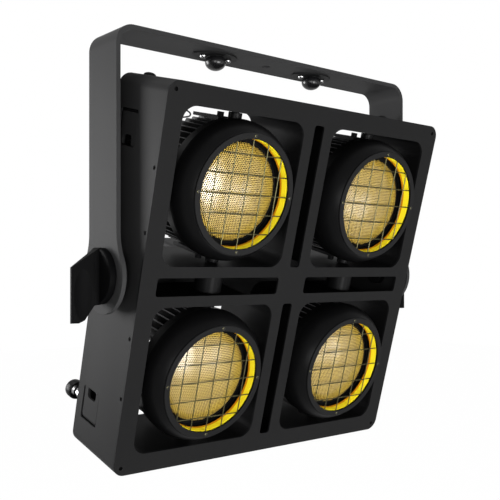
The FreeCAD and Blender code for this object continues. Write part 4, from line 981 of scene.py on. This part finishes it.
route = [(LEAD_ROUTE[0][0], LEAD_ROUTE[0][1], CEILING)] + LEAD_ROUTE + [
    radial(GLAND_REACH + GLAND_STRAIGHT * LEAD_RADIUS), radial(GLAND_REACH)]
for number, corner in enumerate(CORNERS):
    points = in_pod(corner, route)
    mesh = smooth_route(points, LEAD_RADIUS * MM, "lead_tube_" + corner)
    mesh.materials.append(rubber_black)
    mesh.shade_smooth()
    lead = bpy.data.objects.new("lead_tube_" + corner, mesh)
    bpy.context.scene.collection.objects.link(lead)
    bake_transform(lead, "housing", body_of["heat_sink_" + corner], start=tuple(points[0]), end=tuple(points[-1]))
    if number == 0:
        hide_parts("lamp_leads")

# %% [markdown]
# The camera stands where the photograph was taken from, as solved from the photograph's
# corners, slots and circles. The same solution shifts the picture a little off its middle.

# %% Camera
FOCAL_PIXELS, PICTURE = 801.707, 500.0
PRINCIPAL = (249.127, 269.826)
CAMERA_FROM_PIVOT = (-771.34, -881.42, 7.67)
HEADING = math.radians(-40.004)
SENSOR = 36.0
camera = bpy.data.cameras.new("photo_camera")
camera.sensor_width = SENSOR
camera.lens = SENSOR * FOCAL_PIXELS / PICTURE
camera.shift_x = (PICTURE / 2 - PRINCIPAL[0]) / PICTURE
camera.shift_y = (PRINCIPAL[1] - PICTURE / 2) / PICTURE
camera.clip_start = 0.02
holder = bpy.data.objects.new("photo_camera", camera)
holder.location = pivot + np.array(CAMERA_FROM_PIVOT) * MM
holder.rotation_euler = (math.pi / 2, 0, HEADING)
bpy.context.scene.collection.objects.link(holder)
bpy.context.scene.camera = holder

# %% [markdown]
# The studio is plain: a pale floor far below, because the light hangs, and a white world that
# only the camera and the reflections see at full strength. Soft lamps give the rest.

# %% Studio
FLOOR_DROP, FLOOR_HALF, FLOOR_GREY, FLOOR_ROUGHNESS = 1.25, 8.0, 0.55, 0.8
FLOOR_GLOW, GLOW_SHARE = 1.02, 0.97
WORLD_LIGHT, BACKDROP = 0.08, 1.0


def seen_directly(tree):
    """1 for camera, glossy and transmission rays, else 0."""
    path = tree.nodes.new("ShaderNodeLightPath")
    total = None
    for name in ("Is Camera Ray", "Is Glossy Ray", "Is Transmission Ray"):
        if total is None:
            total = path.outputs[name]
            continue
        larger = tree.nodes.new("ShaderNodeMath")
        larger.operation = "MAXIMUM"
        tree.links.new(total, larger.inputs[0])
        tree.links.new(path.outputs[name], larger.inputs[1])
        total = larger.outputs[0]
    return total


def studio_world():
    world = bpy.data.worlds.new("studio")
    world.use_nodes = True
    tree = world.node_tree
    background = tree.nodes["Background"]
    background.inputs["Color"].default_value = (1, 1, 1, 1)
    strength = tree.nodes.new("ShaderNodeMix")
    strength.inputs[2].default_value = WORLD_LIGHT
    strength.inputs[3].default_value = BACKDROP
    tree.links.new(seen_directly(tree), strength.inputs[0])
    tree.links.new(strength.outputs[0], background.inputs["Strength"])
    bpy.context.scene.world = world


def studio_floor():
    """A wide sheet that the camera and the reflections see as almost pure white."""
    mesh = bpy.data.meshes.new("floor")
    half, low = FLOOR_HALF, -FLOOR_DROP
    mesh.from_pydata([(-half, -half, low), (half, -half, low), (half, half, low), (-half, half, low)],
                     [], [(0, 1, 2, 3)])
    material = bpy.data.materials.new("pale_floor")
    material.use_nodes = True
    tree = material.node_tree
    tree.nodes["Principled BSDF"].inputs["Base Color"].default_value = (FLOOR_GREY, FLOOR_GREY, FLOOR_GREY, 1)
    tree.nodes["Principled BSDF"].inputs["Roughness"].default_value = FLOOR_ROUGHNESS
    glow = tree.nodes.new("ShaderNodeEmission")
    glow.inputs["Strength"].default_value = FLOOR_GLOW
    blend = tree.nodes.new("ShaderNodeMixShader")
    share = tree.nodes.new("ShaderNodeMath")
    share.operation = "MULTIPLY"
    share.inputs[1].default_value = GLOW_SHARE
    tree.links.new(seen_directly(tree), share.inputs[0])
    tree.links.new(share.outputs[0], blend.inputs[0])
    tree.links.new(tree.nodes["Principled BSDF"].outputs[0], blend.inputs[1])
    tree.links.new(glow.outputs[0], blend.inputs[2])
    tree.links.new(blend.outputs[0], tree.nodes["Material Output"].inputs["Surface"])
    mesh.materials.append(material)
    floor = bpy.data.objects.new("floor", mesh)
    bpy.context.scene.collection.objects.link(floor)


def soft_lamp(name, spot, size, power):
    """A rectangular area lamp at spot, in metres, that faces the blinder's pivot."""
    data = bpy.data.lights.new(name, "AREA")
    data.shape = "RECTANGLE"
    data.size, data.size_y = size
    data.energy = power
    lamp = bpy.data.objects.new(name, data)
    lamp.location = spot
    direction = pivot - np.array(spot)
    flat = math.hypot(direction[0], direction[1])
    lamp.rotation_euler = (math.atan2(flat, -direction[2]), 0, math.atan2(-direction[0], direction[1]))
    bpy.context.scene.collection.objects.link(lamp)


studio_world()
studio_floor()
soft_lamp("key_left_back", (-1.10, 1.22, -0.14), (0.6, 0.9), 40)
soft_lamp("left_front", (-1.43, -1.54, -0.5), (0.9, 0.9), 22)
soft_lamp("lens_low", (-0.16, -1.8, -0.72), (0.8, 0.9), 48)
soft_lamp("right_front", (0.95, -1.5, -0.85), (0.8, 0.6), 8)
soft_lamp("top", (-0.9, 0.5, 1.9), (1.6, 1.6), 46)
bpy.context.scene.view_settings.view_transform = "Standard"
